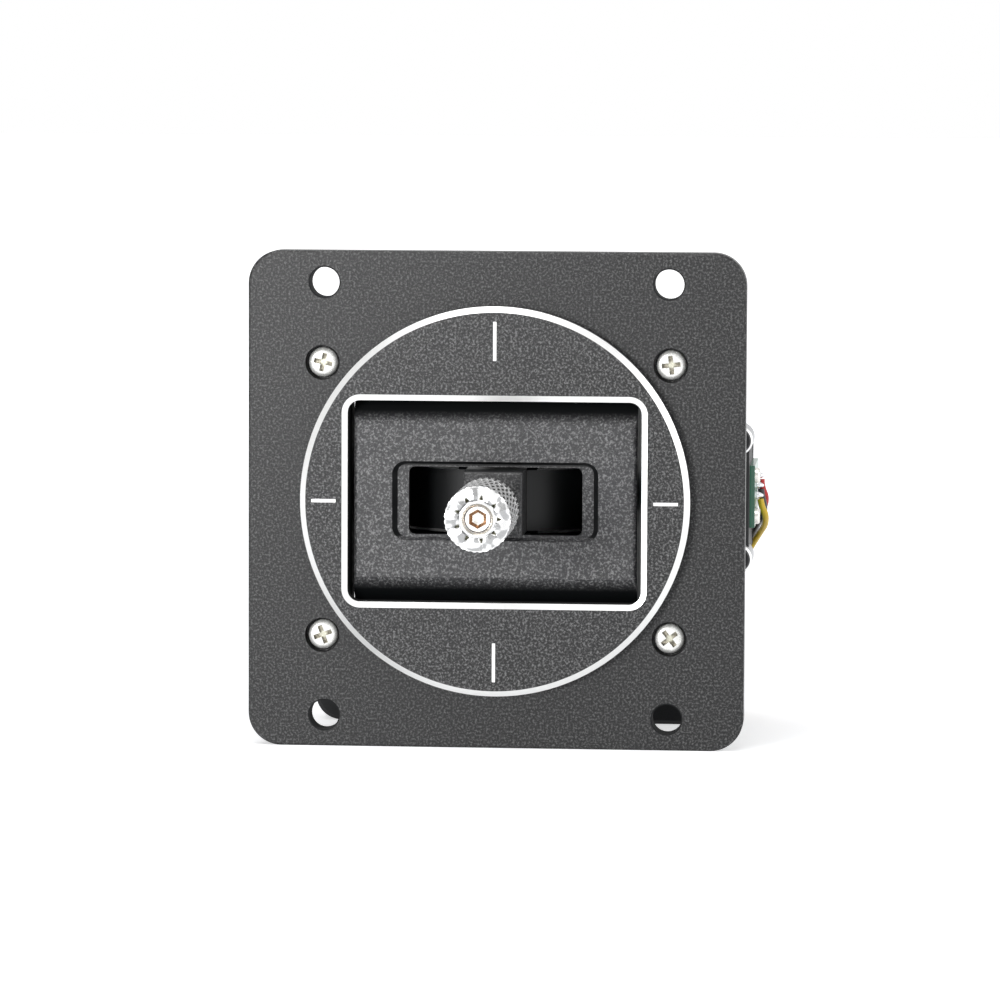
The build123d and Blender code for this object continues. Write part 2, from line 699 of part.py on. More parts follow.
# Stick drum: curved dust shield, web and hub on the swing axis
with BuildPart() as stick_drum:
    sweep_start = 270 - DRUM_ANGLE
    start_edge = Vector(1, 0).rotate(Axis.Z, sweep_start)
    end_edge = Vector(1, 0).rotate(Axis.Z, 270 + DRUM_ANGLE)
    with BuildSketch(upright(-DRUM_LOW)):
        with BuildLine():
            CenterArc((0, 0), DRUM_R, sweep_start, 2 * DRUM_ANGLE)
            CenterArc((0, 0), DRUM_R - DRUM_WALL, sweep_start, 2 * DRUM_ANGLE)
            Line(start_edge * (DRUM_R - DRUM_WALL), start_edge * DRUM_R)
            Line(end_edge * (DRUM_R - DRUM_WALL), end_edge * DRUM_R)
        make_face()
    extrude(amount=DRUM_LOW + DRUM_TOP)
    rim = stick_drum.edges().filter_by(GeomType.CIRCLE).sort_by(lambda e: e.radius)[-2:]
    chamfer(rim, DRUM_CHAMFER)
    with BuildSketch(upright(-WEB_T / 2)):
        with BuildLine():
            CenterArc((0, 0), DRUM_R - DRUM_WALL, sweep_start, 2 * DRUM_ANGLE)
            Line((0, 0), start_edge * (DRUM_R - DRUM_WALL))
            Line((0, 0), end_edge * (DRUM_R - DRUM_WALL))
        make_face()
        with PolarLocations(WEB_HOLE_AT, 2, start_angle=225, angular_range=90, endpoint=True):
            Circle(WEB_HOLE_R, mode=Mode.SUBTRACT)
    extrude(amount=WEB_T)
    with BuildSketch(upright(-HUB_H / 2)):
        Circle(HUB_R)
    extrude(amount=HUB_H)
    with BuildSketch(upright(-bearing_low + BOSS_LIP + NECK_GAP)):
        Circle(NECK_R)
    extrude(amount=2 * (bearing_low - BOSS_LIP - NECK_GAP))
    with BuildSketch(upright(-bearing_low)):
        Circle(INNER_R)
    extrude(amount=2 * bearing_low)
    with BuildSketch(upright(-bearing_low)):
        Circle(SHAFT_R)
    extrude(amount=2 * bearing_low, mode=Mode.SUBTRACT)
    with BuildSketch(facing(PIVOT_Y)):
        Circle(ROD_R)
    extrude(amount=DRUM_R, mode=Mode.SUBTRACT)
    with BuildSketch(facing(PIVOT_Y)):
        Circle(SET_SCREW_R)
    extrude(amount=-HUB_R, mode=Mode.SUBTRACT)
stick_drum.part.label = "stick_drum"
export_step(stick_drum.part, "parts/stick_drum.step")

# Block that clamps the rod to the drum
with BuildPart() as stick_block:
    with BuildSketch(facing(PIVOT_Y - DRUM_R + DRUM_WALL)):
        Rectangle(BLOCK_W, BLOCK_H)
    extrude(amount=PIVOT_Y - DRUM_R + DRUM_WALL - BLOCK_FACE_Y)
    chamfer(stick_block.faces().sort_by(Axis.Y)[0].edges(), BLOCK_CHAMFER)
    with BuildSketch(upright(-BLOCK_H / 2)):
        Circle(DRUM_R)
    extrude(amount=BLOCK_H, mode=Mode.SUBTRACT)
    with BuildSketch(facing(PIVOT_Y)):
        Circle(ROD_R)
    extrude(amount=PIVOT_Y - BLOCK_FACE_Y, mode=Mode.SUBTRACT)
stick_block.part.label = "stick_block"
export_step(stick_block.part, "parts/stick_block.step")

# Rod: thick to the step, then the stud that the stick end runs on
with BuildPart() as stick_rod:
    with BuildSketch(facing(PIVOT_Y)):
        Circle(ROD_R)
    extrude(amount=PIVOT_Y - ROD_STEP_Y)
    with BuildSketch(facing(ROD_STEP_Y)):
        Circle(STUD_R)
    extrude(amount=ROD_STEP_Y - STUD_TIP_Y)
    chamfer(stick_rod.faces().sort_by(Axis.Y)[0].edges(), STUD_CHAMFER)
    # Seat of the rod's inner end on the swing pin
    with BuildSketch(upright(-ROD_R)):
        Circle(SHAFT_R)
    extrude(amount=2 * ROD_R, mode=Mode.SUBTRACT)
    with BuildSketch(facing(PIVOT_Y)):
        Rectangle(2 * ROD_R, 2 * ROD_R)
    extrude(amount=SHAFT_R, mode=Mode.SUBTRACT)
stick_rod.part.label = "stick_rod"
export_step(stick_rod.part, "parts/stick_rod.step")

# Swing pin through both decks, with the cam on top and the magnet below
pin_top = swing_cam_z + SWING_CAM_T
pin_low = -DECK_Z - PIN_LOW
swing_pin = turned(upright(0), [(SHAFT_R, pin_low, pin_top)])
swing_pin.label = "swing_pin"
export_step(swing_pin, "parts/swing_pin.step")

# Set screw behind the hub, against the pin
with BuildPart() as hub_set_screw:
    with BuildSketch(facing(PIVOT_Y + HUB_R)):
        Circle(SET_SCREW_R)
    extrude(amount=HUB_R)
    with BuildSketch(facing(PIVOT_Y + HUB_R)):
        RegularPolygon(SET_SOCKET_R, 6)
    extrude(amount=SET_SOCKET_T, mode=Mode.SUBTRACT)
    with BuildSketch(upright(-SET_SCREW_R)):
        Circle(SHAFT_R)
    extrude(amount=2 * SET_SCREW_R, mode=Mode.SUBTRACT)
hub_set_screw.part.label = "hub_set_screw"
export_step(hub_set_screw.part, "parts/hub_set_screw.step")

with BuildPart() as swing_outer_rings:
    for low in (-DECK_Z, bearing_low):
        with BuildSketch(upright(low)):
            Circle(BEARING_R)
            Circle(shield_r, mode=Mode.SUBTRACT)
        extrude(amount=BEARING_T)
        with BuildSketch(upright(low + (BEARING_T - RACE_W) / 2)):
            Circle(RACE_R)
        extrude(amount=RACE_W, mode=Mode.SUBTRACT)
swing_outer_rings.part.label = "swing_outer_rings"
export_step(swing_outer_rings.part, "parts/swing_outer_rings.step")

with BuildPart() as swing_inner_rings:
    for low in (-DECK_Z, bearing_low):
        with BuildSketch(upright(low)):
            Circle(INNER_R)
            Circle(SHAFT_R, mode=Mode.SUBTRACT)
        extrude(amount=BEARING_T)
swing_inner_rings.part.label = "swing_inner_rings"
export_step(swing_inner_rings.part, "parts/swing_inner_rings.step")

with BuildPart() as swing_cam:
    with BuildSketch(upright(DECK_Z)):
        Circle(INNER_R)
    extrude(amount=SWING_CAM_LIFT)
    with BuildSketch(upright(swing_cam_z)):
        Circle(CAM_HUB_R)
        with Locations((0, SWING_CAM_REACH / 2)):
            Rectangle(SWING_CAM_FLAT, SWING_CAM_REACH)
    extrude(amount=SWING_CAM_T)
    with BuildSketch(upright(DECK_Z)):
        Circle(SHAFT_R)
    extrude(amount=SWING_CAM_LIFT + SWING_CAM_T, mode=Mode.SUBTRACT)
swing_cam.part.label = "swing_cam"
export_step(swing_cam.part, "parts/swing_cam.step")

swing_magnet = turned(upright(pin_low), [(SHAFT_R, -SMALL_MAGNET_T, 0)])
swing_magnet.label = "swing_magnet"
export_step(swing_magnet, "parts/swing_magnet.step")

# Swing lever across the upper deck
lever_span = SWING_HOOK_X - SWING_PIVOT_X
with BuildPart() as swing_lever:
    with BuildSketch(upright(swing_lever_z)):
        with Locations(((SWING_PIVOT_X + SWING_HOOK_X) / 2, swing_lever_y)):
            SlotCenterToCenter(lever_span, SWING_LEVER_W)
        with Locations((SWING_PIVOT_X, swing_lever_y)):
            Circle(SWING_BOSS_R)
            Circle(SWING_SHOULDER_R + RUN, mode=Mode.SUBTRACT)
    extrude(amount=SWING_LEVER_T)
    with BuildSketch(upright(swing_lever_z)):
        with Locations((SWING_HOOK_X, swing_lever_y)):
            Circle(SWING_PIN_R)
    extrude(amount=SWING_PIN_TOP - swing_lever_z)
swing_lever.part.label = "swing_lever"
export_step(swing_lever.part, "parts/swing_lever.step")

swing_lever_screw = pan_screw(
    upright(swing_lever_z + SWING_LEVER_T + SLIDE_GAP, x=SWING_PIVOT_X, y=PIVOT_Y + swing_lever_y),
    DECK_HEAD_R, DECK_HEAD_H,
    [(SWING_SHOULDER_R, SWING_LEVER_T + 2 * SLIDE_GAP), (DECK_SCREW_R, YOKE_WALL)],
)
swing_lever_screw.label = "swing_lever_screw"
export_step(swing_lever_screw, "parts/swing_lever_screw.step")

# Swing anchor: slotted plate on the upper deck with a foot for the hook pin
with BuildPart() as swing_anchor:
    with BuildSketch(upright(swing_anchor_z)):
        with Locations((SWING_ANCHOR_X, SWING_ANCHOR_Y)):
            Rectangle(SWING_ANCHOR_W, SWING_ANCHOR_L)
        foot_low = SWING_ANCHOR_Y - SWING_ANCHOR_L / 2
        with Locations(((SWING_ANCHOR_X + SWING_HOOK_X) / 2, foot_low)):
            Rectangle(
                SWING_HOOK_X - SWING_ANCHOR_X + SWING_FOOT_W, 2 * (SWING_PIN_Y - foot_low),
                align=(Align.CENTER, Align.MIN),
            )
        with Locations((SWING_ANCHOR_X, SWING_ANCHOR_Y)):
            SlotOverall(
                SWING_SLOT_L, 2 * (DECK_SCREW_R + RUN), rotation=90, mode=Mode.SUBTRACT
            )
    extrude(amount=ANCHOR_T)
    with BuildSketch(upright(swing_anchor_z)):
        with Locations((SWING_HOOK_X, SWING_PIN_Y)):
            Circle(SWING_PIN_R)
    extrude(amount=SWING_PIN_TOP - swing_anchor_z)
swing_anchor.part.label = "swing_anchor"
export_step(swing_anchor.part, "parts/swing_anchor.step")

swing_anchor_screw = pan_screw(
    upright(swing_anchor_z + ANCHOR_T + SLIDE_GAP, x=SWING_ANCHOR_X, y=PIVOT_Y + SWING_ANCHOR_Y),
    DECK_HEAD_R, DECK_HEAD_H,
    [(DECK_SCREW_R, ANCHOR_T + 2 * SLIDE_GAP + YOKE_WALL)],
)
swing_anchor_screw.label = "swing_anchor_screw"
export_step(swing_anchor_screw, "parts/swing_anchor_screw.step")

# Swing spring along the deck, from the anchor's pin back to the lever's pin
swing_hooks = [
    ring_hook(upright(SWING_COIL_Z, x=SWING_HOOK_X, y=PIVOT_Y + y), SWING_PIN_R, SWING_WIRE)
    for y in (SWING_PIN_Y, swing_lever_y)
]
swing_ring = SWING_PIN_R + HOOK_CLEAR + SWING_WIRE / 2
stem_end = PIVOT_Y + swing_lever_y - swing_ring
stem_l = swing_lever_y - SWING_PIN_Y - 2 * swing_ring
with BuildPart() as swing_spring:
    for hook in swing_hooks:
        add(hook)
    with BuildSketch(facing(stem_end, x=SWING_HOOK_X, z=SWING_COIL_Z)):
        Circle(SWING_WIRE / 2)
    extrude(amount=stem_l)
    with BuildSketch(facing(stem_end - SWING_STEM, x=SWING_HOOK_X, z=SWING_COIL_Z)):
        Circle(SWING_COIL_R)
    extrude(amount=stem_l - 2 * SWING_STEM)
swing_spring.part.label = "swing_spring"
export_step(swing_spring.part, "parts/swing_spring.step")

# Swing sensor: board on two posts under the lower deck, chip towards the magnet
with BuildPart() as swing_board:
    with BuildSketch(upright(SWING_BOARD_Z - BOARD_T)):
        RectangleRounded(SWING_BOARD_W, SWING_BOARD_D, BRACKET_CORNER)
        with Locations((-SWING_POST_X, 0), (SWING_POST_X, 0)):
            Circle(DECK_SCREW_R, mode=Mode.SUBTRACT)
    extrude(amount=BOARD_T)
swing_board.part.label = "swing_board"
export_step(swing_board.part, "parts/swing_board.step")

with BuildPart() as swing_chip:
    with BuildSketch(upright(SWING_BOARD_Z)):
        Rectangle(CHIP_W, CHIP_H)
    extrude(amount=SWING_CHIP_T)
swing_chip.part.label = "swing_chip"
export_step(swing_chip.part, "parts/swing_chip.step")

with BuildPart() as swing_posts:
    for x in (-SWING_POST_X, SWING_POST_X):
        with BuildSketch(upright(SWING_BOARD_Z, x=x)):
            Circle(SWING_POST_R)
        extrude(amount=-DECK_Z - SWING_BOARD_Z)
        with BuildSketch(upright(SWING_BOARD_Z - BOARD_T - SWING_POST_HEAD, x=x)):
            Circle(SWING_POST_R)
        extrude(amount=SWING_POST_HEAD)
        with BuildSketch(upright(SWING_BOARD_Z - BOARD_T, x=x)):
            Circle(DECK_SCREW_R)
        extrude(amount=-DECK_Z + YOKE_WALL - SWING_BOARD_Z + BOARD_T)
swing_posts.part.label = "swing_posts"
export_step(swing_posts.part, "parts/swing_posts.step")

# Stick end: crown with notched rim and collar, and the lock nut behind it
with BuildPart() as stick_crown:
    with BuildSketch(facing(CROWN_FRONT_Y + CROWN_L)):
        Circle(CROWN_R)
    extrude(amount=CROWN_L)
    front = stick_crown.faces().sort_by(Axis.Y)[0]
    chamfer(front.edges(), CROWN_RIM)
    with BuildSketch(facing(CROWN_FRONT_Y)):
        Circle(DISH_R)
        Circle(COLLAR_R, mode=Mode.SUBTRACT)
    extrude(amount=-DISH_DEPTH, mode=Mode.SUBTRACT)
    for step in range(NOTCHES):
        outward = Vector(1, 0, 0).rotate(Axis.Y, 360 * (step + 0.5) / NOTCHES)
        radial = Plane((0, CROWN_FRONT_Y, 0), x_dir=Vector(0, 1, 0).cross(outward), z_dir=outward)
        with BuildSketch(radial.offset(NOTCH_FROM)):
            with BuildLine():
                Polyline(
                    (-NOTCH_W, NOTCH_DEPTH), (0, -NOTCH_DEPTH), (NOTCH_W, NOTCH_DEPTH), close=True
                )
            make_face()
        extrude(amount=CROWN_R, mode=Mode.SUBTRACT)
    with BuildSketch(facing(CROWN_FRONT_Y + CROWN_L)):
        Circle(STUD_R + RUN)
    extrude(amount=CROWN_L, mode=Mode.SUBTRACT)
stick_crown.part.label = "stick_crown"
export_step(stick_crown.part, "parts/stick_crown.step")

with BuildPart() as stick_lock_nut:
    with BuildSketch(facing(CROWN_FRONT_Y + CROWN_L + NUT_L)):
        Circle(CROWN_R)
        Circle(STUD_R + RUN, mode=Mode.SUBTRACT)
    extrude(amount=NUT_L)
    rims = stick_lock_nut.edges().filter_by(GeomType.CIRCLE).sort_by(lambda e: e.radius)[-2:]
    chamfer(rims, EDGE_BREAK)
stick_lock_nut.part.label = "stick_lock_nut"
export_step(stick_lock_nut.part, "parts/stick_lock_nut.step")

# Sensor bracket on the right cheek: bore for the cup, window for the chip, board seat
with BuildPart() as sensor_bracket:
    bracket_y = (BRACKET_Y0 + BRACKET_Y1) / 2
    with BuildSketch(across(frame_half, y=bracket_y)):
        RectangleRounded(BRACKET_Y1 - BRACKET_Y0, BRACKET_H, BRACKET_CORNER)
    extrude(amount=BRACKET_T)
    outer_face = sensor_bracket.faces().sort_by(Axis.X)[-1]
    chamfer(outer_face.edges(), BRACKET_CHAMFER)
    with BuildSketch(across(frame_half)):
        Circle(BRACKET_BORE_R)
    extrude(amount=BRACKET_T - BRACKET_FLOOR, mode=Mode.SUBTRACT)
    with BuildSketch(across(frame_half)):
        Rectangle(CHIP_W + 2 * SLIDE_GAP, CHIP_H + 2 * SLIDE_GAP)
    extrude(amount=BRACKET_T, mode=Mode.SUBTRACT)
    with BuildSketch(across(board_in, y=board_y)):
        Rectangle(BOARD_L, BOARD_H)
    extrude(amount=BOARD_SINK, mode=Mode.SUBTRACT)
    for z in (-POST_Z, POST_Z):
        with BuildSketch(facing(POST_Y1, x=POST_X, z=z)):
            Circle(POST_R)
        extrude(amount=POST_Y1 - POST_Y0, mode=Mode.SUBTRACT)
    for z in (-FIX_Z, FIX_Z):
        with BuildSketch(across(frame_half, y=FIX_Y, z=z)):
            Circle(FIX_R)
        extrude(amount=BRACKET_T, mode=Mode.SUBTRACT)
        with BuildSketch(across(bracket_out - FIX_DEPTH, y=FIX_Y, z=z)):
            Circle(FIX_HEAD_R + SLIDE_GAP)
        extrude(amount=FIX_DEPTH, mode=Mode.SUBTRACT)
    for z in (-BOARD_SCREW_Z, BOARD_SCREW_Z):
        with BuildSketch(across(board_in, y=BOARD_SCREW_Y, z=z)):
            Circle(BOARD_SCREW_R)
        extrude(amount=-BOARD_SCREW_L + BOARD_T, mode=Mode.SUBTRACT)
sensor_bracket.part.label = "sensor_bracket"
export_step(sensor_bracket.part, "parts/sensor_bracket.step")

with BuildPart() as sensor_posts:
    for z in (-POST_Z, POST_Z):
        with BuildSketch(facing(POST_Y1, x=POST_X, z=z)):
            Circle(POST_R)
        extrude(amount=POST_Y1 - POST_Y0)
    chamfer(sensor_posts.faces().filter_by(Axis.Y).sort_by(Axis.Y)[:2].edges(), POST_CHAMFER)
sensor_posts.part.label = "sensor_posts"
export_step(sensor_posts.part, "parts/sensor_posts.step")

fixings = [
    pan_screw(
        across(bracket_out - FIX_DEPTH, y=FIX_Y, z=z), FIX_HEAD_R, FIX_HEAD_H,
        [(FIX_R, BRACKET_T - FIX_DEPTH + CHEEK_T)], turn=angle,
    )
    for z, angle in ((-FIX_Z, SCREW_TURNS[0]), (FIX_Z, SCREW_TURNS[1]))
]
with BuildPart() as bracket_screws:
    for screw in fixings:
        add(screw)
bracket_screws.part.label = "bracket_screws"
export_step(bracket_screws.part, "parts/bracket_screws.step")

with BuildPart() as tilt_board:
    with BuildSketch(across(board_in, y=board_y)):
        Rectangle(BOARD_L, BOARD_H)
        with Locations(
            (BOARD_SCREW_Y - board_y, BOARD_SCREW_Z), (BOARD_SCREW_Y - board_y, -BOARD_SCREW_Z)
        ):
            Circle(BOARD_SCREW_R, mode=Mode.SUBTRACT)
    extrude(amount=BOARD_T)
tilt_board.part.label = "tilt_board"
export_step(tilt_board.part, "parts/tilt_board.step")

board_fixings = [
    pan_screw(
        across(board_out, y=BOARD_SCREW_Y, z=z), BOARD_HEAD_R, BOARD_HEAD_H,
        [(BOARD_SCREW_R, BOARD_SCREW_L)], turn=angle,
    )
    for z, angle in ((-BOARD_SCREW_Z, SCREW_TURNS[2]), (BOARD_SCREW_Z, SCREW_TURNS[3]))
]
with BuildPart() as board_screws:
    for screw in board_fixings:
        add(screw)
board_screws.part.label = "board_screws"
export_step(board_screws.part, "parts/board_screws.step")

with BuildPart() as tilt_chip:
    with BuildSketch(across(board_in)):
        Rectangle(CHIP_W, CHIP_H)
    extrude(amount=-CHIP_T)
tilt_chip.part.label = "tilt_chip"
export_step(tilt_chip.part, "parts/tilt_chip.step")

# Leads: routes of their centre lines from the solder joints to the plug's back
lead_x = board_out + LEAD_R + SLIDE_GAP / 2
routes = {
    "lead_yellow": [
        (lead_x, 17.6, -0.9), (lead_x, 17.6, -1.8), (31.9, 18.1, -3.3), (31.8, 19.8, -5.0),
        (30.9, 22.6, -6.8), (29.0, 26.0, -10.2), (27.4, 30.0, -15.6), (26.4, 35.0, -22.2),
        (24.6, 39.2, -27.4), (19.5, 41.4, -29.5), (10.0, 42.2, -29.55), (-1.0, 43.4, -29.5),
        (-11.8, 47.0, -29.55), (-19.2, 54.4, -29.5), (-19.4, 63.8, -29.55), (-12.0, 70.0, -29.5),
        (-3.4, 70.6, -29.3), (PLUG_X, PLUG_Y + LEAD_PITCH, FLOOR_Z + PLUG_ROW),
    ],
    "lead_black": [
        (lead_x, 19.2, 0.2), (lead_x, 19.2, -0.7), (31.8, 19.7, -2.2), (31.6, 21.4, -3.9),
        (30.6, 24.2, -5.7), (28.8, 27.6, -9.2), (27.2, 31.7, -14.8), (26.2, 36.8, -21.4),
        (24.7, 41.0, -26.8), (20.0, 43.2, -29.5), (10.4, 44.0, -29.55), (-0.5, 45.1, -29.5),
        (-10.8, 48.6, -29.55), (-17.5, 55.1, -29.5), (-17.6, 63.0, -29.55), (-11.2, 68.3, -29.5),
        (-3.4, 68.9, -29.3), (PLUG_X, PLUG_Y, FLOOR_Z + PLUG_ROW),
    ],
    "lead_red": [
        (lead_x, 20.8, 1.3), (lead_x, 20.8, 0.4), (31.9, 21.3, -1.1), (31.4, 23.0, -2.8),
        (30.3, 25.8, -4.6), (28.6, 29.2, -8.2), (27.0, 33.4, -14.0), (26.0, 38.6, -20.6),
        (24.8, 42.8, -26.2), (20.5, 45.0, -29.5), (10.8, 45.8, -29.55), (0.0, 46.8, -29.5),
        (-9.8, 50.2, -29.55), (-15.8, 55.8, -29.5), (-15.8, 62.2, -29.55), (-10.4, 66.6, -29.5),
        (-3.4, 67.2, -29.3), (PLUG_X, PLUG_Y - LEAD_PITCH, FLOOR_Z + PLUG_ROW),
    ],
}


def arc_radii(points):
    """Largest arc that each corner of the route has room for."""
    radii = []
    for before, corner, after in zip(points, points[1:], points[2:]):
        first = Vector(*corner) - Vector(*before)
        second = Vector(*after) - Vector(*corner)
        shorter = min(first.length, second.length)
        half_turn = math.radians(first.get_angle(second) / 2)
        radii.append(BEND_SHARE * shorter / math.tan(half_turn))
    return radii


for node, points in routes.items():
    radii = arc_radii(points)
    print(node, "radii", [round(radius, 1) for radius in radii])
    with BuildPart() as lead:
        with BuildLine() as route:
            FilletPolyline(*points, radius=radii)
        with BuildSketch(Plane(points[0], z_dir=Vector(*points[1]) - Vector(*points[0]))):
            Circle(LEAD_R)
        sweep(path=route.wires()[0])
    lead.part.label = node
    print(node, "length", round(route.wires()[0].length, 1), "volume", round(lead.part.volume, 2))
    export_step(lead.part, f"parts/{node}.step")

with BuildPart() as solder_joints:
    for points in routes.values():
        x, y, z = points[0]
        with BuildSketch(across(board_out, y=y, z=z + SOLDER / 2)):
            Rectangle(SOLDER, SOLDER)
        extrude(amount=SOLDER_T)
    chamfer(solder_joints.faces().group_by(Axis.X)[-1].edges(), SOLDER / 4)
solder_joints.part.label = "solder_joints"
export_step(solder_joints.part, "parts/solder_joints.step")

# Plug with three contacts in its open front
with BuildPart() as lead_plug:
    with BuildSketch(across(PLUG_X, y=PLUG_Y, z=FLOOR_Z + PLUG_H / 2)):
        Rectangle(PLUG_W, PLUG_H)
    extrude(amount=PLUG_L)
    chamfer(lead_plug.edges().filter_by(Axis.X), EDGE_BREAK)
    for lane in (-1, 0, 1):
        with BuildSketch(across(PLUG_X, y=PLUG_Y + lane * LEAD_PITCH, z=FLOOR_Z + PLUG_ROW)):
            Rectangle(CONTACT, CONTACT)
        extrude(amount=PLUG_L, mode=Mode.SUBTRACT)
lead_plug.part.label = "lead_plug"
export_step(lead_plug.part, "parts/lead_plug.step")

with BuildPart() as plug_contacts:
    for lane in (-1, 0, 1):
        contact_x = PLUG_X + PLUG_L - EDGE_BREAK - CONTACT_L
        with BuildSketch(across(contact_x, y=PLUG_Y + lane * LEAD_PITCH, z=FLOOR_Z + PLUG_ROW)):
            Rectangle(CONTACT, CONTACT)
        extrude(amount=CONTACT_L)
plug_contacts.part.label = "plug_contacts"
export_step(plug_contacts.part, "parts/plug_contacts.step")
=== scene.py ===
import math

import bmesh
import bpy
from mathutils import Matrix, Vector


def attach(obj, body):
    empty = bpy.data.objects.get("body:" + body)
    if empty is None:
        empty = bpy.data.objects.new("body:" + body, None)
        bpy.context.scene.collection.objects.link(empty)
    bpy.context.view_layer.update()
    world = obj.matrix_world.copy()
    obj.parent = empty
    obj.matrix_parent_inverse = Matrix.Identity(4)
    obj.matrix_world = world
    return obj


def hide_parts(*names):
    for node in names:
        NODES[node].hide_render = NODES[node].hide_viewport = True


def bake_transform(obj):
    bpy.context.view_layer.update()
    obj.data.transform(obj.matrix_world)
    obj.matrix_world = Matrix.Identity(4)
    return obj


# Radio transmitter gimbal: materials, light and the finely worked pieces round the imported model.
# Sizes are in millimetres and turned into metres by MM or mm(), except for lights and floor.
# X runs to the right, Y away from the viewer and Z up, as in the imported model.

MM = 0.001
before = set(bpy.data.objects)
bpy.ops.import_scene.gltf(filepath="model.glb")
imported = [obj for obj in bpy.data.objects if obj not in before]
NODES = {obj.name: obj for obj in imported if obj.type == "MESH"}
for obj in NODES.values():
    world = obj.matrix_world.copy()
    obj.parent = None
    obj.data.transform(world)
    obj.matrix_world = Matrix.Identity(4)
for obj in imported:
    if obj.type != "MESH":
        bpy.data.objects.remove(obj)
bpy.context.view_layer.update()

# Both stick axes cross at PIVOT_Y, and the object stands on FLOOR_Z
PIVOT_Y = 16.5
FLOOR_Z = -30.0

# Camera: aim, distance and focal length of the photograph
CAMERA_YAW = math.radians(4.75)
CAMERA_PITCH = math.radians(4.9)
CAMERA_ROLL = math.radians(0.24)
CAMERA_DISTANCE = 650.0
CAMERA_ASIDE = 0.52
CAMERA_RISE = 0.11
SENSOR_MM = 36.0
FOCAL_PX = 5400.0
IMAGE_PX = 1000.0
CLIP_START = 10.0

# Leads: length and control points of each line, from its solder joint to the back of the plug
LEAD_R = 0.4
LEADS = {
    "yellow": (117.0, [
        (31.25, 17.6, -0.9), (31.35, 17.6, -1.7), (31.9, 18.2, -2.9), (31.8, 20.2, -4.3),
        (30.9, 22.9, -5.7), (29.0, 26.2, -9.0), (27.4, 30.0, -15.0), (26.4, 35.0, -22.2),
        (24.6, 39.2, -27.4), (19.5, 41.4, -29.5), (10.0, 42.2, -29.55), (-1.0, 43.4, -29.5),
        (-11.8, 47.0, -29.55), (-19.2, 54.4, -29.5), (-19.4, 63.8, -29.55), (-12.0, 70.0, -29.5),
        (-3.4, 70.6, -29.3), (4.0, 69.75, -28.4),
    ]),
    "black": (112.6, [
        (31.25, 19.2, 0.2), (31.3, 19.2, -0.6), (31.7, 19.9, -2.0), (31.5, 21.6, -3.4),
        (30.5, 24.2, -4.8), (28.8, 27.6, -8.4), (27.2, 31.7, -14.4), (26.2, 36.8, -21.4),
        (24.7, 41.0, -26.8), (20.0, 43.2, -29.5), (10.4, 44.0, -29.55), (-0.5, 45.1, -29.5),
        (-10.8, 48.6, -29.55), (-17.5, 55.1, -29.5), (-17.6, 63.0, -29.55), (-11.2, 68.3, -29.5),
        (-3.4, 68.9, -29.3), (4.0, 68.5, -28.4),
    ]),
    "red": (108.0, [
        (31.25, 20.8, 1.3), (31.25, 20.8, 0.4), (31.9, 21.3, -1.1), (31.4, 23.0, -2.8),
        (30.3, 25.8, -4.6), (28.6, 29.2, -8.2), (27.0, 33.4, -14.0), (26.0, 38.6, -20.6),
        (24.8, 42.8, -26.2), (20.5, 45.0, -29.5), (10.8, 45.8, -29.55), (0.0, 46.8, -29.5),
        (-9.8, 50.2, -29.55), (-15.8, 55.8, -29.5), (-15.8, 62.2, -29.55), (-10.4, 66.6, -29.5),
        (-3.4, 67.2, -29.3), (4.0, 67.25, -28.4),
    ]),
}


def mm(*values):
    """A point in metres from millimetres."""
    return tuple(value * MM for value in values)


# Camera and leads


def make_camera():
    """The photograph's view of the face plate."""
    right = Vector((math.cos(CAMERA_YAW), math.sin(CAMERA_YAW), 0))
    ahead = Vector((
        -math.sin(CAMERA_YAW) * math.cos(CAMERA_PITCH),
        math.cos(CAMERA_YAW) * math.cos(CAMERA_PITCH),
        -math.sin(CAMERA_PITCH),
    ))
    up = right.cross(ahead)
    side = right * math.cos(CAMERA_ROLL) + up * math.sin(CAMERA_ROLL)
    top = up * math.cos(CAMERA_ROLL) - right * math.sin(CAMERA_ROLL)
    data = bpy.data.cameras.new("camera")
    data.sensor_width = SENSOR_MM
    data.lens = FOCAL_PX * SENSOR_MM / IMAGE_PX
    data.clip_start = CLIP_START * MM
    camera = bpy.data.objects.new("camera", data)
    place = (-ahead * CAMERA_DISTANCE + right * CAMERA_ASIDE + up * CAMERA_RISE) * MM
    turn = Matrix((side, top, -ahead)).transposed().to_4x4()
    camera.matrix_world = Matrix.Translation(place) @ turn
    bpy.context.collection.objects.link(camera)
    bpy.context.scene.camera = camera


def make_lead(colour, length, points):
    """One sensor lead as a smooth line through its control points; length is not used."""
    data = bpy.data.curves.new(f"lead_{colour}_line", "CURVE")
    data.dimensions = "3D"
    # The points' own radius gives the thickness
    data.bevel_depth = 1.0
    data.bevel_resolution = 4
    data.resolution_u = 8
    data.use_fill_caps = True
    spline = data.splines.new("NURBS")
    spline.points.add(len(points) - 1)
    for control, point in zip(spline.points, points):
        control.co = (*mm(*point), 1)
        control.radius = LEAD_R * MM
    spline.order_u = 3
    spline.use_endpoint_u = True
    lead = bpy.data.objects.new(f"lead_{colour}_line", data)
    bpy.context.collection.objects.link(lead)
    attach(lead, "frame")
    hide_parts(f"lead_{colour}")
    return lead


# Shader building


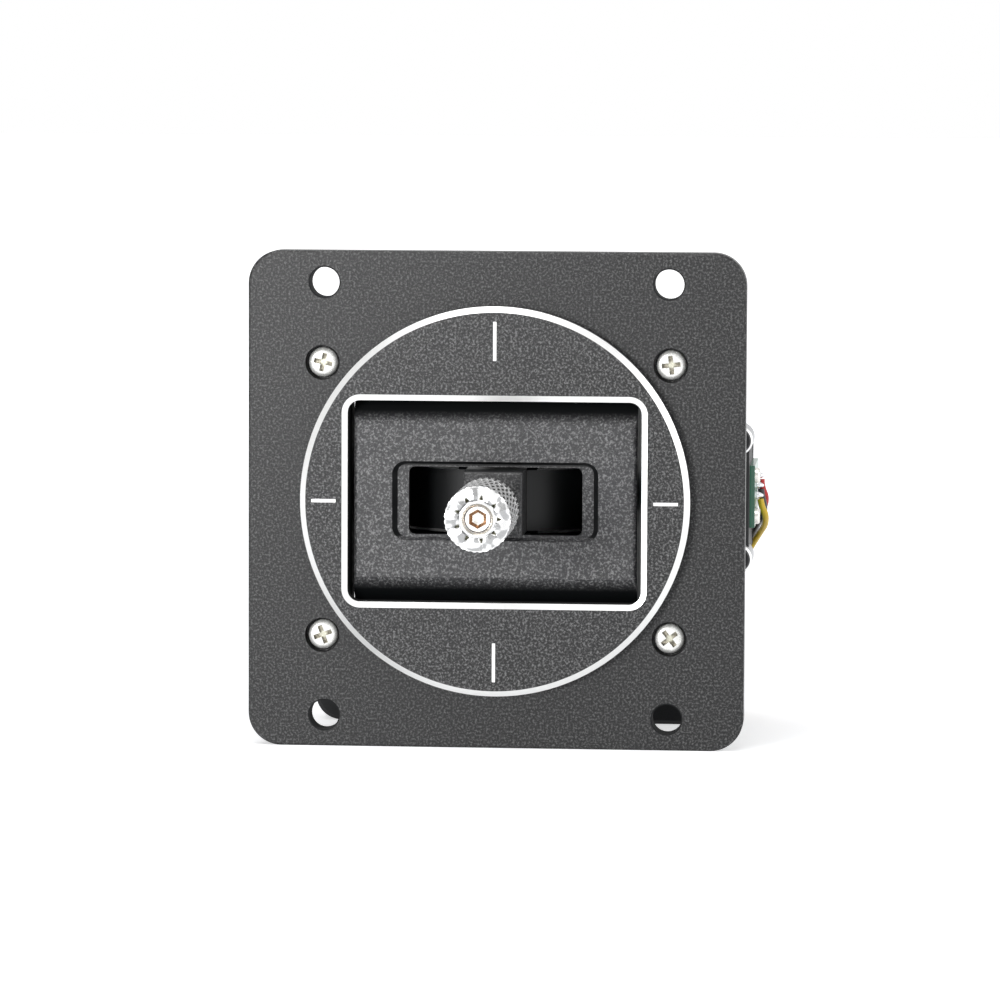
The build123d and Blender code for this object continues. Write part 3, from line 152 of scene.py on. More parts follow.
class Shader:
    """A material's nodes. Each call adds a node and gives back its output."""

    def __init__(self, name):
        self.material = bpy.data.materials.new(name)
        self.material.use_nodes = True
        self.tree = self.material.node_tree
        self.surface = self.tree.nodes["Principled BSDF"]
        self.place = self.add("ShaderNodeTexCoord").outputs["Object"]
        axes = self.add("ShaderNodeSeparateXYZ")
        self.join(self.place, axes.inputs[0])
        self.x, self.y, self.z = axes.outputs

    def add(self, kind, **settings):
        node = self.tree.nodes.new(kind)
        for key, value in settings.items():
            setattr(node, key, value)
        return node

    def join(self, value, socket):
        """Links an output to the socket, or writes a plain value in it."""
        if isinstance(value, bpy.types.NodeSocket):
            self.tree.links.new(value, socket)
        else:
            socket.default_value = value

    def math(self, operation, *values):
        node = self.add("ShaderNodeMath", operation=operation)
        for value, socket in zip(values, node.inputs):
            self.join(value, socket)
        return node.outputs[0]

    def spread(self, value, start, end):
        """0 at start and 1 at end, in metres."""
        node = self.add("ShaderNodeMapRange")
        self.join(value, node.inputs["Value"])
        self.join(start, node.inputs["From Min"])
        self.join(end, node.inputs["From Max"])
        return node.outputs[0]

    def above(self, value, limit, soft=0.01):
        """1 where value is over limit, both in millimetres, with an edge of soft to each side."""
        return self.spread(value, (limit - soft) * MM, (limit + soft) * MM)

    def below(self, value, limit, soft=0.01):
        return self.math("SUBTRACT", 1.0, self.above(value, limit, soft))

    def both(self, first, *others):
        for other in others:
            first = self.math("MULTIPLY", first, other)
        return first

    def either(self, first, *others):
        for other in others:
            first = self.math("MAXIMUM", first, other)
        return first

    def size(self, value):
        return self.math("ABSOLUTE", value)

    def radius(self, first, second):
        """Distance from the line where both are 0."""
        first, second = (self.math("MULTIPLY", value, value) for value in (first, second))
        return self.math("SQRT", self.math("ADD", first, second))

    def stretched(self, x, y, z):
        node = self.add("ShaderNodeMapping")
        self.join(self.place, node.inputs["Vector"])
        self.join((x, y, z), node.inputs["Scale"])
        return node.outputs[0]

    def noise(self, grain, detail=2.0, rough=0.5, place=None):
        """Noise from 0 to 1 whose grains are about grain millimetres wide."""
        node = self.add("ShaderNodeTexNoise")
        self.join(place or self.place, node.inputs["Vector"])
        self.join(1 / (grain * MM), node.inputs["Scale"])
        self.join(detail, node.inputs["Detail"])
        self.join(rough, node.inputs["Roughness"])
        return node.outputs["Fac"]

    def ramp(self, value, *stops):
        """Numbers or colours spread over value, as (position, level) stops."""
        node = self.add("ShaderNodeValToRGB")
        self.join(value, node.inputs[0])
        marks = node.color_ramp.elements
        while len(marks) < len(stops):
            marks.new(1.0)
        for mark, (position, level) in zip(marks, stops):
            mark.position = position
            mark.color = (*level, 1) if isinstance(level, tuple) else (level, level, level, 1)
        return node.outputs[0]

    def mix(self, share, first, second):
        """first where share is 0, second where it is 1, as colours."""
        node = self.add("ShaderNodeMix", data_type="RGBA")
        self.join(share, node.inputs[0])
        for value, socket in ((first, node.inputs[6]), (second, node.inputs[7])):
            if isinstance(value, (int, float)):
                value = (value,) * 3
            self.join((*value, 1) if isinstance(value, tuple) else value, socket)
        return node.outputs[2]

    def level(self, share, first, second):
        """first where share is 0, second where it is 1, as numbers."""
        node = self.add("ShaderNodeMix", data_type="FLOAT")
        for value, socket in zip((share, first, second), node.inputs[:1] + node.inputs[2:4]):
            self.join(value, socket)
        return node.outputs[0]

    def bump(self, height, depth):
        """Relief of depth millimetres."""
        node = self.add("ShaderNodeBump")
        self.join(height, node.inputs["Height"])
        self.join(depth * MM, node.inputs["Distance"])
        self.join(1.0, node.inputs["Strength"])
        self.join(node.outputs[0], self.surface.inputs["Normal"])

    def set(self, **values):
        """Fills the surface's sockets and gives back the material."""
        for key, value in values.items():
            socket = self.surface.inputs[key.replace("_", " ")]
            self.join((*value, 1) if isinstance(value, tuple) else value, socket)
        return self.material


# Black finishes

BARE_METAL = (0.86, 0.86, 0.85)
CUT_METAL = (0.95, 0.95, 0.94)
# Near-black of smooth machined walls; the same near-black is painted shade on the plate's window
# and hole walls, the yoke's lips, recess wall and slot edge, and the block's top
SMOOTH_AND_SHADE_BLACK = (0.002, 0.0025, 0.003)
BLAST_GRAIN = 0.27
BLAST_DEPTH = 0.035
BLAST_GLOSS = 0.35
CUTTER_GRAIN = 0.12
CUTTER_DEPTH = 0.006
SATIN_GLOSS = 0.2

# Face plate: where its cut edges, its window and its holes lie
DISC_EDGE_R = 22.79
DISC_EDGE_BACK = -1.66
DISC_BACK = -1.2
BEVEL_X = 18.47
BEVEL_Z = 12.92
BEVEL_FRONT = -2.393
BEVEL_BACK = -2.172
TICK_FRONT = -2.34
TICK_BACK = -2.2
TICK_R = 22.7
WINDOW_X = 18.0
WINDOW_Z = 12.5
WINDOW_FRONT = -2.16
HOLE_X = 20.75
HOLE_Z = 26.2
HOLE_R = 1.95
HOLE_FRONT = -0.5

# Yoke, block, drum and sensor bracket: where their smooth walls, their painted shade and their
# bright edges lie
LIP_Z = 10.2
RECESS_X = 12.5
RECESS_Z = 4.85
RECESS_FRONT = -0.94
RECESS_LOW = -4.3
RECESS_FLOOR = (-0.22, -0.18)
SLOT_X = 10.4
SLOT_Z = 4.05
SLOT_FRONT = 0.9
# Height of the band of painted shadow along the slot's upper edge
SLOT_SHADOW_BAND = (4.24, 4.9)
BLOCK_TOP = 3.8
DRUM_RIM_TOP = 3.52
DRUM_RIM_LOW = -3.87
DRUM_RIM_R = 13.62
DRUM_TOP = 3.82
DRUM_HUB_X = 4.8
BRACKET_EDGE = (29.87, 30.19)
BRACKET_EDGE_Z = 6.62


def anodised(name, bare=None, smooth=None, tone=1.0, lift=0.0, shade=None, wall=0.45):
    """Blasted black anodising with its sparkling grain.

    bare gives the mask of cut bright metal, smooth the mask of machined walls without grain and of
    painted shade, both near-black, whose roughness is wall, and shade the mask where the colour is
    darker. tone is the strength of the grain and lift its darkest level.
    """
    s = Shader(name)
    grain = s.noise(BLAST_GRAIN, 3.0, 0.65)
    cloud = s.noise(9.0, 2.0)
    tint = lift + 0.014 * tone
    colour = s.ramp(grain, (0.4, lift + 0.001), (0.5, tint), (0.66, lift + 0.2 * tone))
    colour = s.mix(s.math("MULTIPLY", cloud, 0.3), colour, (tint, tint, 1.3 * tint))
    rough = s.level(grain, 0.42, 0.28)
    if shade:
        colour = s.mix(s.math("MULTIPLY", shade(s), 0.4), colour, 0.001)
    flat = 0.0
    if smooth:
        flat = smooth(s)
        # Smooth machined walls and places of painted shade turn near-black
        colour = s.mix(flat, colour, SMOOTH_AND_SHADE_BLACK)
        rough = s.level(flat, rough, wall)
    if bare:
        share = bare(s)
        turned = s.noise(0.5, 2.0)
        colour = s.mix(share, colour, s.mix(turned, CUT_METAL, BARE_METAL))
        rough = s.level(share, rough, 0.3)
        s.set(Metallic=s.math("MULTIPLY", share, 0.85))
        flat = s.either(flat, share)
    s.bump(s.math("MULTIPLY", grain, s.math("SUBTRACT", 1.0, flat)), BLAST_DEPTH)
    s.surface.inputs["Specular IOR Level"].default_value = BLAST_GLOSS
    return s.set(Base_Color=colour, Roughness=rough)


def satin_black(name, bare=None):
    """Machined and anodised black, with faint cutter lines."""
    s = Shader(name)
    lines = s.noise(CUTTER_GRAIN, 2.0, 0.6, s.stretched(1.0, 0.06, 1.0))
    wear = s.noise(4.0, 3.0)
    colour = s.mix(wear, s.ramp(lines, (0.3, 0.003), (0.75, 0.014)), (0.008, 0.009, 0.011))
    rough = s.level(lines, 0.4, 0.55)
    if bare:
        share = bare(s)
        colour = s.mix(share, colour, BARE_METAL)
        rough = s.level(share, rough, 0.22)
        s.set(Metallic=share)
    s.bump(lines, CUTTER_DEPTH)
    s.surface.inputs["Specular IOR Level"].default_value = SATIN_GLOSS
    return s.set(Base_Color=colour, Roughness=rough)


def inside_box(s, half_x, half_z):
    """Mask of what lies near the stick's line, within half_x and half_z of it."""
    return s.both(s.below(s.size(s.x), half_x), s.below(s.size(s.z), half_z))


def outside(s, mask):
    return s.math("SUBTRACT", 1.0, mask)


def from_four(s, x, z):
    """Distance from the nearest of four lines along Y, at x and z to each side."""
    aside = s.math("SUBTRACT", s.size(s.x), x * MM)
    over = s.math("SUBTRACT", s.size(s.z), z * MM)
    return s.radius(aside, over)


def from_swing_axis(s):
    """Distance from the swing axis, which stands upright at PIVOT_Y."""
    return s.radius(s.x, s.math("SUBTRACT", s.y, PIVOT_Y * MM))


def plate_bare(s):
    """Cut edges of the face plate: disc chamfer, window bevel and the ticks."""
    from_axis = s.radius(s.x, s.z)
    ring = s.both(s.above(from_axis, DISC_EDGE_R), s.below(s.y, DISC_EDGE_BACK))
    near_window = inside_box(s, BEVEL_X, BEVEL_Z)
    window = s.both(
        near_window, s.above(s.y, BEVEL_FRONT, 0.004), s.below(s.y, BEVEL_BACK, 0.006)
    )
    ticks = s.both(
        outside(s, near_window), s.above(s.y, TICK_FRONT), s.below(s.y, TICK_BACK),
        s.below(from_axis, TICK_R),
    )
    return s.either(ring, window, ticks)


def plate_walls_and_shade(s):
    """Walls of the window and of the four panel holes: machined smooth, and painted near-black as
    painted shade.
    """
    wall = s.both(inside_box(s, WINDOW_X, WINDOW_Z), s.above(s.y, WINDOW_FRONT))
    hole = s.both(
        s.below(from_four(s, HOLE_X, HOLE_Z), HOLE_R, 0.03), s.above(s.y, HOLE_FRONT)
    )
    return s.either(wall, hole)


def plate_shade(s):
    """The square plate behind the raised disc."""
    return s.above(s.y, DISC_BACK)


def block_top_shade(s):
    """Milled top of the block, painted near-black as painted shade."""
    return s.above(s.z, BLOCK_TOP)


def yoke_smooth_and_shade(s):
    """The yoke's round lips, the recess wall, a band along the slot's upper edge and the inside of
    the slot, all near-black; the lips, the recess wall and the band carry painted shade, and the
    lips are smooth as well.
    """
    # Painted shade on the round lips, which lie in the window edge's shadow or face away from the
    # light; they are smooth too
    lip_shade = s.above(s.size(s.z), LIP_Z, 0.6)
    # Painted shade on the recess wall, which faces away from the light
    wall = s.both(
        inside_box(s, RECESS_X, RECESS_Z), s.above(s.y, RECESS_FRONT), s.above(s.z, RECESS_LOW)
    )
    floor = s.both(
        s.above(s.y, RECESS_FLOOR[0]), s.below(s.y, RECESS_FLOOR[1]),
        outside(s, inside_box(s, SLOT_X, SLOT_Z)),
    )
    inner = s.above(s.y, SLOT_FRONT)
    # Painted shadow on a band along the slot's upper edge
    strip = s.both(
        s.above(s.y, RECESS_FRONT), s.above(s.z, SLOT_SHADOW_BAND[0]), s.below(s.z, SLOT_SHADOW_BAND[1]),
        s.below(s.size(s.x), RECESS_X),
    )
    return s.either(lip_shade, inner, strip, s.both(wall, outside(s, floor)))


def drum_bare(s):
    """Turned edges and top of the drum, at both sides of its hub."""
    edges = s.either(s.above(s.z, DRUM_RIM_TOP), s.below(s.z, DRUM_RIM_LOW))
    rim = s.both(edges, s.above(from_swing_axis(s), DRUM_RIM_R))
    top = s.above(s.z, DRUM_TOP)
    return s.both(s.either(rim, top), s.above(s.size(s.x), DRUM_HUB_X))


def drum_smooth(s):
    """The drum is turned all over."""
    return s.above(from_swing_axis(s), 0.0)


def bracket_bare(s):
    """Bright chamfer along the bracket's outer edge."""
    return s.both(
        s.above(s.x, BRACKET_EDGE[0]), s.below(s.x, BRACKET_EDGE[1], 0.005),
        s.above(s.size(s.z), BRACKET_EDGE_Z),
    )


# Metal, board and plastic finishes

# Plate screws: their places, and the cross recess in their heads
SCREW_X = 21.0
SCREW_Z = 16.5
CROSS_R = 1.19
CROSS_FRONT = 0.74
CROSS_BACK = 1.6

# Bracket posts: their places, front faces and chamfers
POST_X = 28.9
POST_Z = 7.2
POST_FACE_Y = 5.3
POST_FACE_R = 1.58
POST_CHAMFER_Y = 5.42

TRACE_HALF = 0.16


def metal(name, light, dark, grain=0.3, rough=(0.16, 0.3), stretch=(1.0, 1.0, 1.0)):
    """Bare metal with fine scratches along one way and a little tarnish."""
    s = Shader(name)
    lines = s.noise(grain, 3.0, 0.6, s.stretched(*stretch))
    stain = s.noise(3.0, 2.0)
    colour = s.mix(s.math("MULTIPLY", lines, stain), light, dark)
    s.bump(lines, 0.003)
    return s.set(Base_Color=colour, Roughness=s.level(lines, *rough), Metallic=1.0)


def screw_nickel(name):
    """Nickel plate, with painted shade tinted brown inside the cross recesses of the plate screws,
    lighter at their middle.
    """
    s = Shader(name)
    lines = s.noise(0.25, 3.0)
    from_screw = from_four(s, SCREW_X, SCREW_Z)
    recess = s.both(
        s.below(from_screw, CROSS_R), s.above(s.y, CROSS_FRONT), s.below(s.y, CROSS_BACK)
    )
    # Painted shade down in the cross recess, tinted brown, lighter at its middle
    recess_shade = s.ramp(s.noise(0.45, 2.0), (0.4, (0.13, 0.12, 0.09)), (0.62, (0.42, 0.39, 0.31)))
    recess_shade = s.mix(s.below(from_screw, 0.4, 0.15), recess_shade, (0.62, 0.61, 0.5))
    spots = s.ramp(s.noise(0.5, 2.0), (0.48, 0.0), (0.62, 0.4))
    head = s.mix(spots, (0.88, 0.88, 0.85), (0.5, 0.5, 0.47))
    s.bump(lines, 0.004)
    return s.set(
        Base_Color=s.mix(recess, head, recess_shade), Roughness=s.level(lines, 0.2, 0.34),
        Metallic=s.level(recess, 0.35, 0.6),
    )


def post_metal(name):
    """Bracket posts: black front face, bright chamfer and grey turned side."""
    s = Shader(name)
    lines = s.noise(0.3, 2.0, 0.5, s.stretched(1.0, 6.0, 1.0))
    aside = s.math("SUBTRACT", s.x, POST_X * MM)
    over = s.math("SUBTRACT", s.size(s.z), POST_Z * MM)
    face = s.both(s.below(s.y, POST_FACE_Y), s.below(s.radius(aside, over), POST_FACE_R))
    side = s.mix(lines, (0.5, 0.51, 0.52), (0.36, 0.37, 0.39))
    colour = s.mix(s.below(s.y, POST_CHAMFER_Y), side, (0.9, 0.9, 0.9))
    colour = s.mix(face, colour, (0.012, 0.012, 0.014))
    s.bump(lines, 0.003)
    return s.set(
        Base_Color=colour, Roughness=s.level(lines, 0.3, 0.42), Metallic=s.level(face, 0.8, 0.0)
    )


def knurled(name):
    """Turned aluminium: bright on the ridges, with painted shade dark down in the pits, in the
    front notches and round the collar, and a painted reflection grey on some facets.
    """
    s = Shader(name)
    lines = s.noise(0.3, 2.0)
    outward = s.radius(s.x, s.z)
    front = s.below(s.y, FACE_BACK)
    wall = s.both(s.above(outward, WALL_R), s.above(s.y, RIM + 0.12))
    # Painted shade down in the knurl's pits
    pit = s.both(wall, s.below(outward, PIT_SHADE_R, 0.03))
    # Painted shade in the notches between the front facets, tinted olive
    notch = s.both(
        front, s.above(s.y, NOTCH_SHADE_FRONT, 0.1), s.above(outward, PETAL_FROM),
        s.below(outward, NOTCH_SHADE_TO),
    )
    # Painted shade in the ring round the collar, tinted brown
    groove_shade = s.both(
        front, s.above(s.y, GROOVE_SHADE_FRONT, 0.05), s.above(outward, GROOVE_SHADE_FROM),
        s.below(outward, GROOVE_SHADE_TO),
    )
    # Painted reflection: some front facets grey
    facets = s.both(
        s.below(s.y, REFLECTION_FACET_BACK), s.above(outward, REFLECTION_FACET_FROM), s.below(outward, REFLECTION_FACET_TO)
    )
    facet = s.mix(facets, 0.8, s.ramp(s.noise(1.1, 0.0), (0.46, 0.4), (0.54, 0.9)))
    # A faint blue-grey over the turning lines, painted reflection
    colour = s.mix(lines, facet, s.mix(0.1, facet, (0.6, 0.64, 0.66)))
    colour = s.mix(pit, colour, (0.02, 0.019, 0.014))
    colour = s.mix(s.both(notch, 0.8), colour, (0.12, 0.115, 0.05))
    colour = s.mix(s.both(groove_shade, 0.7), colour, (0.25, 0.21, 0.14))
    s.bump(lines, 0.004)
    return s.set(
        Base_Color=colour, Roughness=s.level(lines, 0.2, 0.34), Metallic=s.level(wall, 1.0, 0.3)
    )


def stud_steel(name):
    """Plated stud, brown down in the socket of its tip."""
    s = Shader(name)
    lines = s.noise(0.2, 2.0)
    socket = s.both(
        s.below(s.radius(s.x, s.z), 1.2), s.above(s.y, STUD_TIP + 0.05),
        s.below(s.y, STUD_TIP + 0.5),
    )
    colour = s.mix(lines, (0.86, 0.84, 0.8), (0.74, 0.71, 0.66))
    colour = s.mix(socket, colour, s.mix(lines, (0.42, 0.27, 0.17), (0.25, 0.15, 0.08)))
    s.bump(lines, 0.004)
    return s.set(Base_Color=colour, Roughness=s.level(lines, 0.2, 0.32), Metallic=1.0)


def board_green(name, traces, flat):
    """Solder resist over copper: traces are (start, end, place) runs, flat names their axes."""
    s = Shader(name)
    run, over = (getattr(s, axis) for axis in flat)
    copper = None
    for start, end, place in traces:
        off_line = s.size(s.math("SUBTRACT", over, place * MM))
        one = s.both(
            s.above(run, start), s.below(run, end), s.below(off_line, TRACE_HALF, 0.03)
        )
        copper = s.either(copper, one) if copper else one
    cloud = s.noise(0.8, 2.0)
    resist = s.mix(cloud, (0.012, 0.13, 0.07), (0.02, 0.19, 0.1))
    colour = s.mix(copper, resist, (0.06, 0.34, 0.16))
    s.bump(s.math("ADD", s.math("MULTIPLY", cloud, 0.1), copper), 0.02)
    s.surface.inputs["Coat Weight"].default_value = 0.4
    return s.set(Base_Color=colour, Roughness=s.level(cloud, 0.24, 0.38))


def moulded(name, light, dark, grain, rough, depth=0.01, metallic=0.0):
    """Moulded plastic, insulation or solder with a fine uneven skin."""
    s = Shader(name)
    skin = s.noise(grain, 3.0)
    s.bump(skin, depth)
    colour = s.mix(skin, light, dark)
    return s.set(Base_Color=colour, Roughness=s.level(skin, *rough), Metallic=metallic)


# Meshes


def piece(name, verts, faces, material, body, replaced=(), sharp=30.0):
    """A new mesh of the object, in millimetres, that rides on a body."""
    data = bpy.data.meshes.new(name)
    data.from_pydata([mm(*point) for point in verts], [], faces)
    data.materials.append(material)
    data.shade_smooth()
    data.set_sharp_from_angle(angle=math.radians(sharp))
    obj = bpy.data.objects.new(name, data)
    bpy.context.collection.objects.link(obj)
    if body:
        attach(obj, body)
    if replaced:
        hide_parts(*replaced)
    return obj


def ring_faces(rings, count, closed=False):
    """Quads between neighbouring rings of count points each."""
    faces = []
    for ring in range(rings if closed else rings - 1):
        here, there = ring * count, (ring + 1) % rings * count
        for step in range(count):
            after = (step + 1) % count
            faces.append((here + step, here + after, there + after, there + step))
    return faces


def turned_rings(rings, count):
    """Points of rings about the stick's line; each ring turns an angle into (radius, y)."""
    verts = []
    for ring in rings:
        for step in range(count):
            angle = 2 * math.pi * step / count
            radius, y = ring(angle)
            verts.append((radius * math.cos(angle), y, radius * math.sin(angle)))
    return verts


def wave(value):
    """Triangle wave: 1 at whole numbers, 0 half-way."""
    return abs(2 * (value - math.floor(value)) - 1)


# Stick end: knurling, faceted front and collar of the crown, and the nut behind it
KNURLS = 32
KNURL_R = 3.92
KNURL_DEPTH = 0.32
KNURL_LENGTH = 4.65
KNURL_STEPS = 9
KNURL_LEVELS = 24
ROUND = KNURLS * KNURL_STEPS
CROWN_FRONT = -25.5
CROWN_BACK = -16.2
CROWN_BORE = 1.56
RIM = -25.12
PETALS = 9
PETAL_FROM = 2.3
PETAL_TO = 3.55
PETAL_RADII = (3.55, 3.4, 3.25, 3.1, 2.95, 2.8, 2.65, 2.55, 2.45, 2.38, 2.3)
COLLAR = (
    (2.26, -25.24), (2.18, -25.3), (2.08, -25.42), (1.94, -25.44), (1.84, -25.38),
    (1.77, -25.2), (1.69, -25.15), (1.61, -25.22), (CROWN_BORE, -25.16),
)
NUT_BACK = -13.0
TURNED_SHARP = 28.0

# Stick end: where its material is bright, where painted shade makes it dark and where a painted
# reflection makes it grey
FACE_BACK = -24.6
WALL_R = 3.5
PIT_SHADE_R = 3.75
# Notches and the ring round the collar, where painted shade lies
NOTCH_SHADE_FRONT = -25.16
NOTCH_SHADE_TO = 2.8
GROOVE_SHADE_FRONT = -25.22
GROOVE_SHADE_FROM = 1.62
GROOVE_SHADE_TO = 1.8
# Front facets that carry the painted grey reflection
REFLECTION_FACET_BACK = -24.9
REFLECTION_FACET_FROM = 2.2
REFLECTION_FACET_TO = 3.7


def knurl(angle, y):
    """Radius of the knurled wall: two crossing families of ridges with pits between."""
    turn, along = KNURLS * angle / (2 * math.pi), y / KNURL_LENGTH
    ridge = max(wave(turn + along), wave(turn - along))
    # The pits grow shallow towards the rim, and their walls are steep
    depth = KNURL_DEPTH * min(1.0, 0.4 + 1.5 * max(0.0, y - RIM))
    return KNURL_R - depth * min(1.0, 1.6 * (1 - ridge))


def wall_rings(front, back):
    """Knurled wall from back to front as rings a fraction of a pit's length apart."""
    count = round((back - front) / KNURL_LENGTH * KNURL_LEVELS)
    levels = [front + (back - front) * step / count for step in range(count + 1)]
    return [lambda angle, y=y: (knurl(angle, y), y) for y in levels[::-1]]


def plain(radius, y):
    return lambda angle: (radius, y)


def rim_ring(angle):
    """Small chamfer between the knurled wall and the crown's front."""
    return min(knurl(angle, RIM), KNURL_R - 0.05), RIM - 0.1


def petal(radius):
    """Front face of the crown at one radius: nine facets with a notch between neighbours."""
    def height(angle):
        turn = PETALS * angle / (2 * math.pi)
        off = abs(turn - math.floor(turn) - 0.5)
        aside = (0.5 - off) / PETALS * 2 * math.pi * radius
        outward = (radius - PETAL_FROM) / (PETAL_TO - PETAL_FROM)
        facet = 0.4 * off + 0.2 * max(0.0, outward - 0.35)
        reach = 0.3 * (1 - 0.8 * outward)
        notch = max(0.0, 1 - aside / reach) * 0.4 * max(0.0, 1 - 1.5 * outward)
        return radius, CROWN_FRONT + 0.02 + facet + notch
    return height


def make_crown(material):
    """Knurled stick end with its faceted front, dished round a collar."""
    rings = [plain(CROWN_BORE, CROWN_BACK), plain(3.5, CROWN_BACK)]
    rings += wall_rings(RIM, CROWN_BACK + 0.02) + [rim_ring]
    rings += [petal(radius) for radius in PETAL_RADII]
    rings += [plain(radius, y) for radius, y in COLLAR]
    piece(
        "crown", turned_rings(rings, ROUND), ring_faces(len(rings), ROUND, closed=True),
        material, "stick_end", ["stick_crown"], sharp=TURNED_SHARP,
    )


def make_nut(material):
    """Knurled lock nut behind the crown."""
    rings = [plain(CROWN_BORE, NUT_BACK), plain(3.45, NUT_BACK)]
    rings += wall_rings(CROWN_BACK + 0.25, NUT_BACK - 0.2)
    rings += [plain(3.5, CROWN_BACK), plain(CROWN_BORE, CROWN_BACK)]
    piece(
        "lock_nut", turned_rings(rings, ROUND), ring_faces(len(rings), ROUND, closed=True),
        material, "stick_end", ["stick_lock_nut"], sharp=TURNED_SHARP,
    )


# Rod: radii and places of its plain shank, its thread and the socket in its tip
ROD_COUNT = 48
ROD_SHANK = (
    (0.05, 16.5), (2.0, 16.5), (2.0, -8.85), (1.85, -9.0), (1.3, -9.02), (1.22, -9.5),
    (1.22, -9.9),
)
THREAD_START = -10.0
THREAD_PITCH = 0.5
THREAD_DEPTH = 0.28
THREAD_STEPS = 8
STUD_R = 1.5
STUD_TIP = -24.9
STUD_LEAD = 0.5
SOCKET_FLATS = 1.0


def thread(y):
    """One level of the threaded stud."""
    def height(angle):
        crest = wave(y / THREAD_PITCH + angle / (2 * math.pi))
        return STUD_R - THREAD_DEPTH * (1 - crest), y
    return height


def hexagon(y, floor=SOCKET_FLATS):
    """A level of the hexagon socket, floor from its middle to each flat."""
    def height(angle):
        part = (angle + math.pi / 6) % (math.pi / 3) - math.pi / 6
        return floor / math.cos(part), y
    return height


def make_rod(material):
    """Stick rod: plain behind, threaded stud in front, with a hexagon socket in its tip."""
    rings = [plain(radius, y) for radius, y in ROD_SHANK]
    levels = round((THREAD_START - STUD_TIP - STUD_LEAD) / THREAD_PITCH * THREAD_STEPS)
    rings += [
        thread(THREAD_START - step * THREAD_PITCH / THREAD_STEPS) for step in range(levels)
    ]
    rings += [
        plain(1.48, STUD_TIP + 0.3), plain(1.49, STUD_TIP + 0.04), plain(1.46, STUD_TIP),
        hexagon(STUD_TIP + 0.01), hexagon(STUD_TIP + 0.04), hexagon(STUD_TIP + 0.52, 0.66),
        hexagon(STUD_TIP + 0.56, 0.6), plain(0.3, STUD_TIP + 0.6), plain(0.02, STUD_TIP + 0.62),
    ]
    piece(
        "threaded_rod", turned_rings(rings, ROD_COUNT), ring_faces(len(rings), ROD_COUNT),
        material, "stick", ["stick_rod"], sharp=35.0,
    )


# Yoke strips: the yoke's radius, and the angles from the stick's line that a strip covers
YOKE_R = 19.8
STRIP_HALF = 15.2
STRIP_FROM = 37.6
STRIP_TO = 42.0
STRIP_STEPS = 8
STRIP_UNDER = 0.01
STRIP_T = 0.6


def make_lip_strip(name, side, material):
    """Thin strip that closes the gap between the yoke's round front and its deck."""
    outline = []
    for radius, order in ((YOKE_R - STRIP_UNDER, 1), (YOKE_R - STRIP_T, -1)):
        for step in range(STRIP_STEPS + 1)[::order]:
            angle = math.radians(STRIP_FROM + (STRIP_TO - STRIP_FROM) * step / STRIP_STEPS)
            outline.append((PIVOT_Y - radius * math.cos(angle), side * radius * math.sin(angle)))
    outline = outline[::-side]
    count = len(outline)
    verts = [(x, y, z) for x in (-STRIP_HALF, STRIP_HALF) for y, z in outline]
    faces = ring_faces(2, count) + [tuple(range(count))[::-1], tuple(range(count, 2 * count))]
    piece(name, verts, faces, material, "yoke")


# Springs

WIRE_SIDES = 10
CORNER_CUTS = 2
HOOK_FIRST = -300
HOOK_STEP = 20
HOOK_POINTS = 15
COIL_STEPS = 20
COIL_RISE = 0.5


def rounded(points):
    """A line with its corners cut off CORNER_CUTS times over."""
    for _ in range(CORNER_CUTS):
        cut = [points[0]]
        for here, after in zip(points, points[1:]):
            cut += [here.lerp(after, 0.25), here.lerp(after, 0.75)]
        points = cut + [points[-1]]
    return points


def tube(points, radius):
    """Points and faces of a round wire along a line."""
    verts = []
    # Any direction that no part of the wire runs along
    across = Vector((0.3, 0.5, 0.81))
    for index, point in enumerate(points):
        after = points[min(index + 1, len(points) - 1)]
        ahead = (after - points[max(index - 1, 0)]).normalized()
        across = (across - ahead * across.dot(ahead)).normalized()
        over = ahead.cross(across)
        for side in range(WIRE_SIDES):
            angle = 2 * math.pi * side / WIRE_SIDES
            verts.append(point + (across * math.cos(angle) + over * math.sin(angle)) * radius)
    faces = ring_faces(len(points), WIRE_SIDES)
    faces.append(tuple(range(WIRE_SIDES))[::-1])
    faces.append(tuple(range(len(verts) - WIRE_SIDES, len(verts))))
    return verts, faces


def spring_line(start, end, normal, ring, stem, coil_r, turns):
    """Line of one half of a spring: hook round the pin at start, stem, then half of the coil."""
    along = (end - start).normalized()
    beside = normal.cross(along)
    middle = (end - start).length / 2
    angles = [math.radians(HOOK_STEP * step + HOOK_FIRST) for step in range(HOOK_POINTS)]
    hook = [start + (along * math.cos(a) + beside * math.sin(a)) * ring for a in angles]
    hook += [start + along * (ring + 0.35), start + along * (ring + stem * 0.75)]
    low = ring + stem
    steps = round(turns * COIL_STEPS)
    coil = []
    for step in range(steps + 1):
        share = step / steps
        angle = share * turns * 2 * math.pi
        reach = coil_r * min(1.0, share * turns / COIL_RISE)
        coil.append(
            start + along * (low + (middle - low) * share)
            + (beside * math.cos(angle) + normal * math.sin(angle)) * reach
        )
    return rounded(hook) + coil


def make_spring(
    name, node, ends, normal, ring, stem, coil_r, wire, turns, material
):
    """Coil spring in two halves, each running from one of its ends to the middle."""
    for half, (start, end) in enumerate((ends, ends[::-1])):
        start, end = Vector(start), Vector(end)
        side = normal if half == 0 else -normal
        line = spring_line(start, end, side, ring, stem, coil_r - wire / 2, turns / 2)
        verts, faces = tube(line, wire / 2)
        obj = piece(
            f"{name}_{half + 1}", verts, faces, material, None, sharp=60.0
        )
        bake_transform(obj)
        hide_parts(node)


# Small parts on the boards

# Length, width and height of a surface-mount part
SMALL_SIZE = (1.2, 0.6, 0.5)
SMALL_BODY = 0.62
SMALL_CAP = 0.55
CAP_PROUD = 0.02

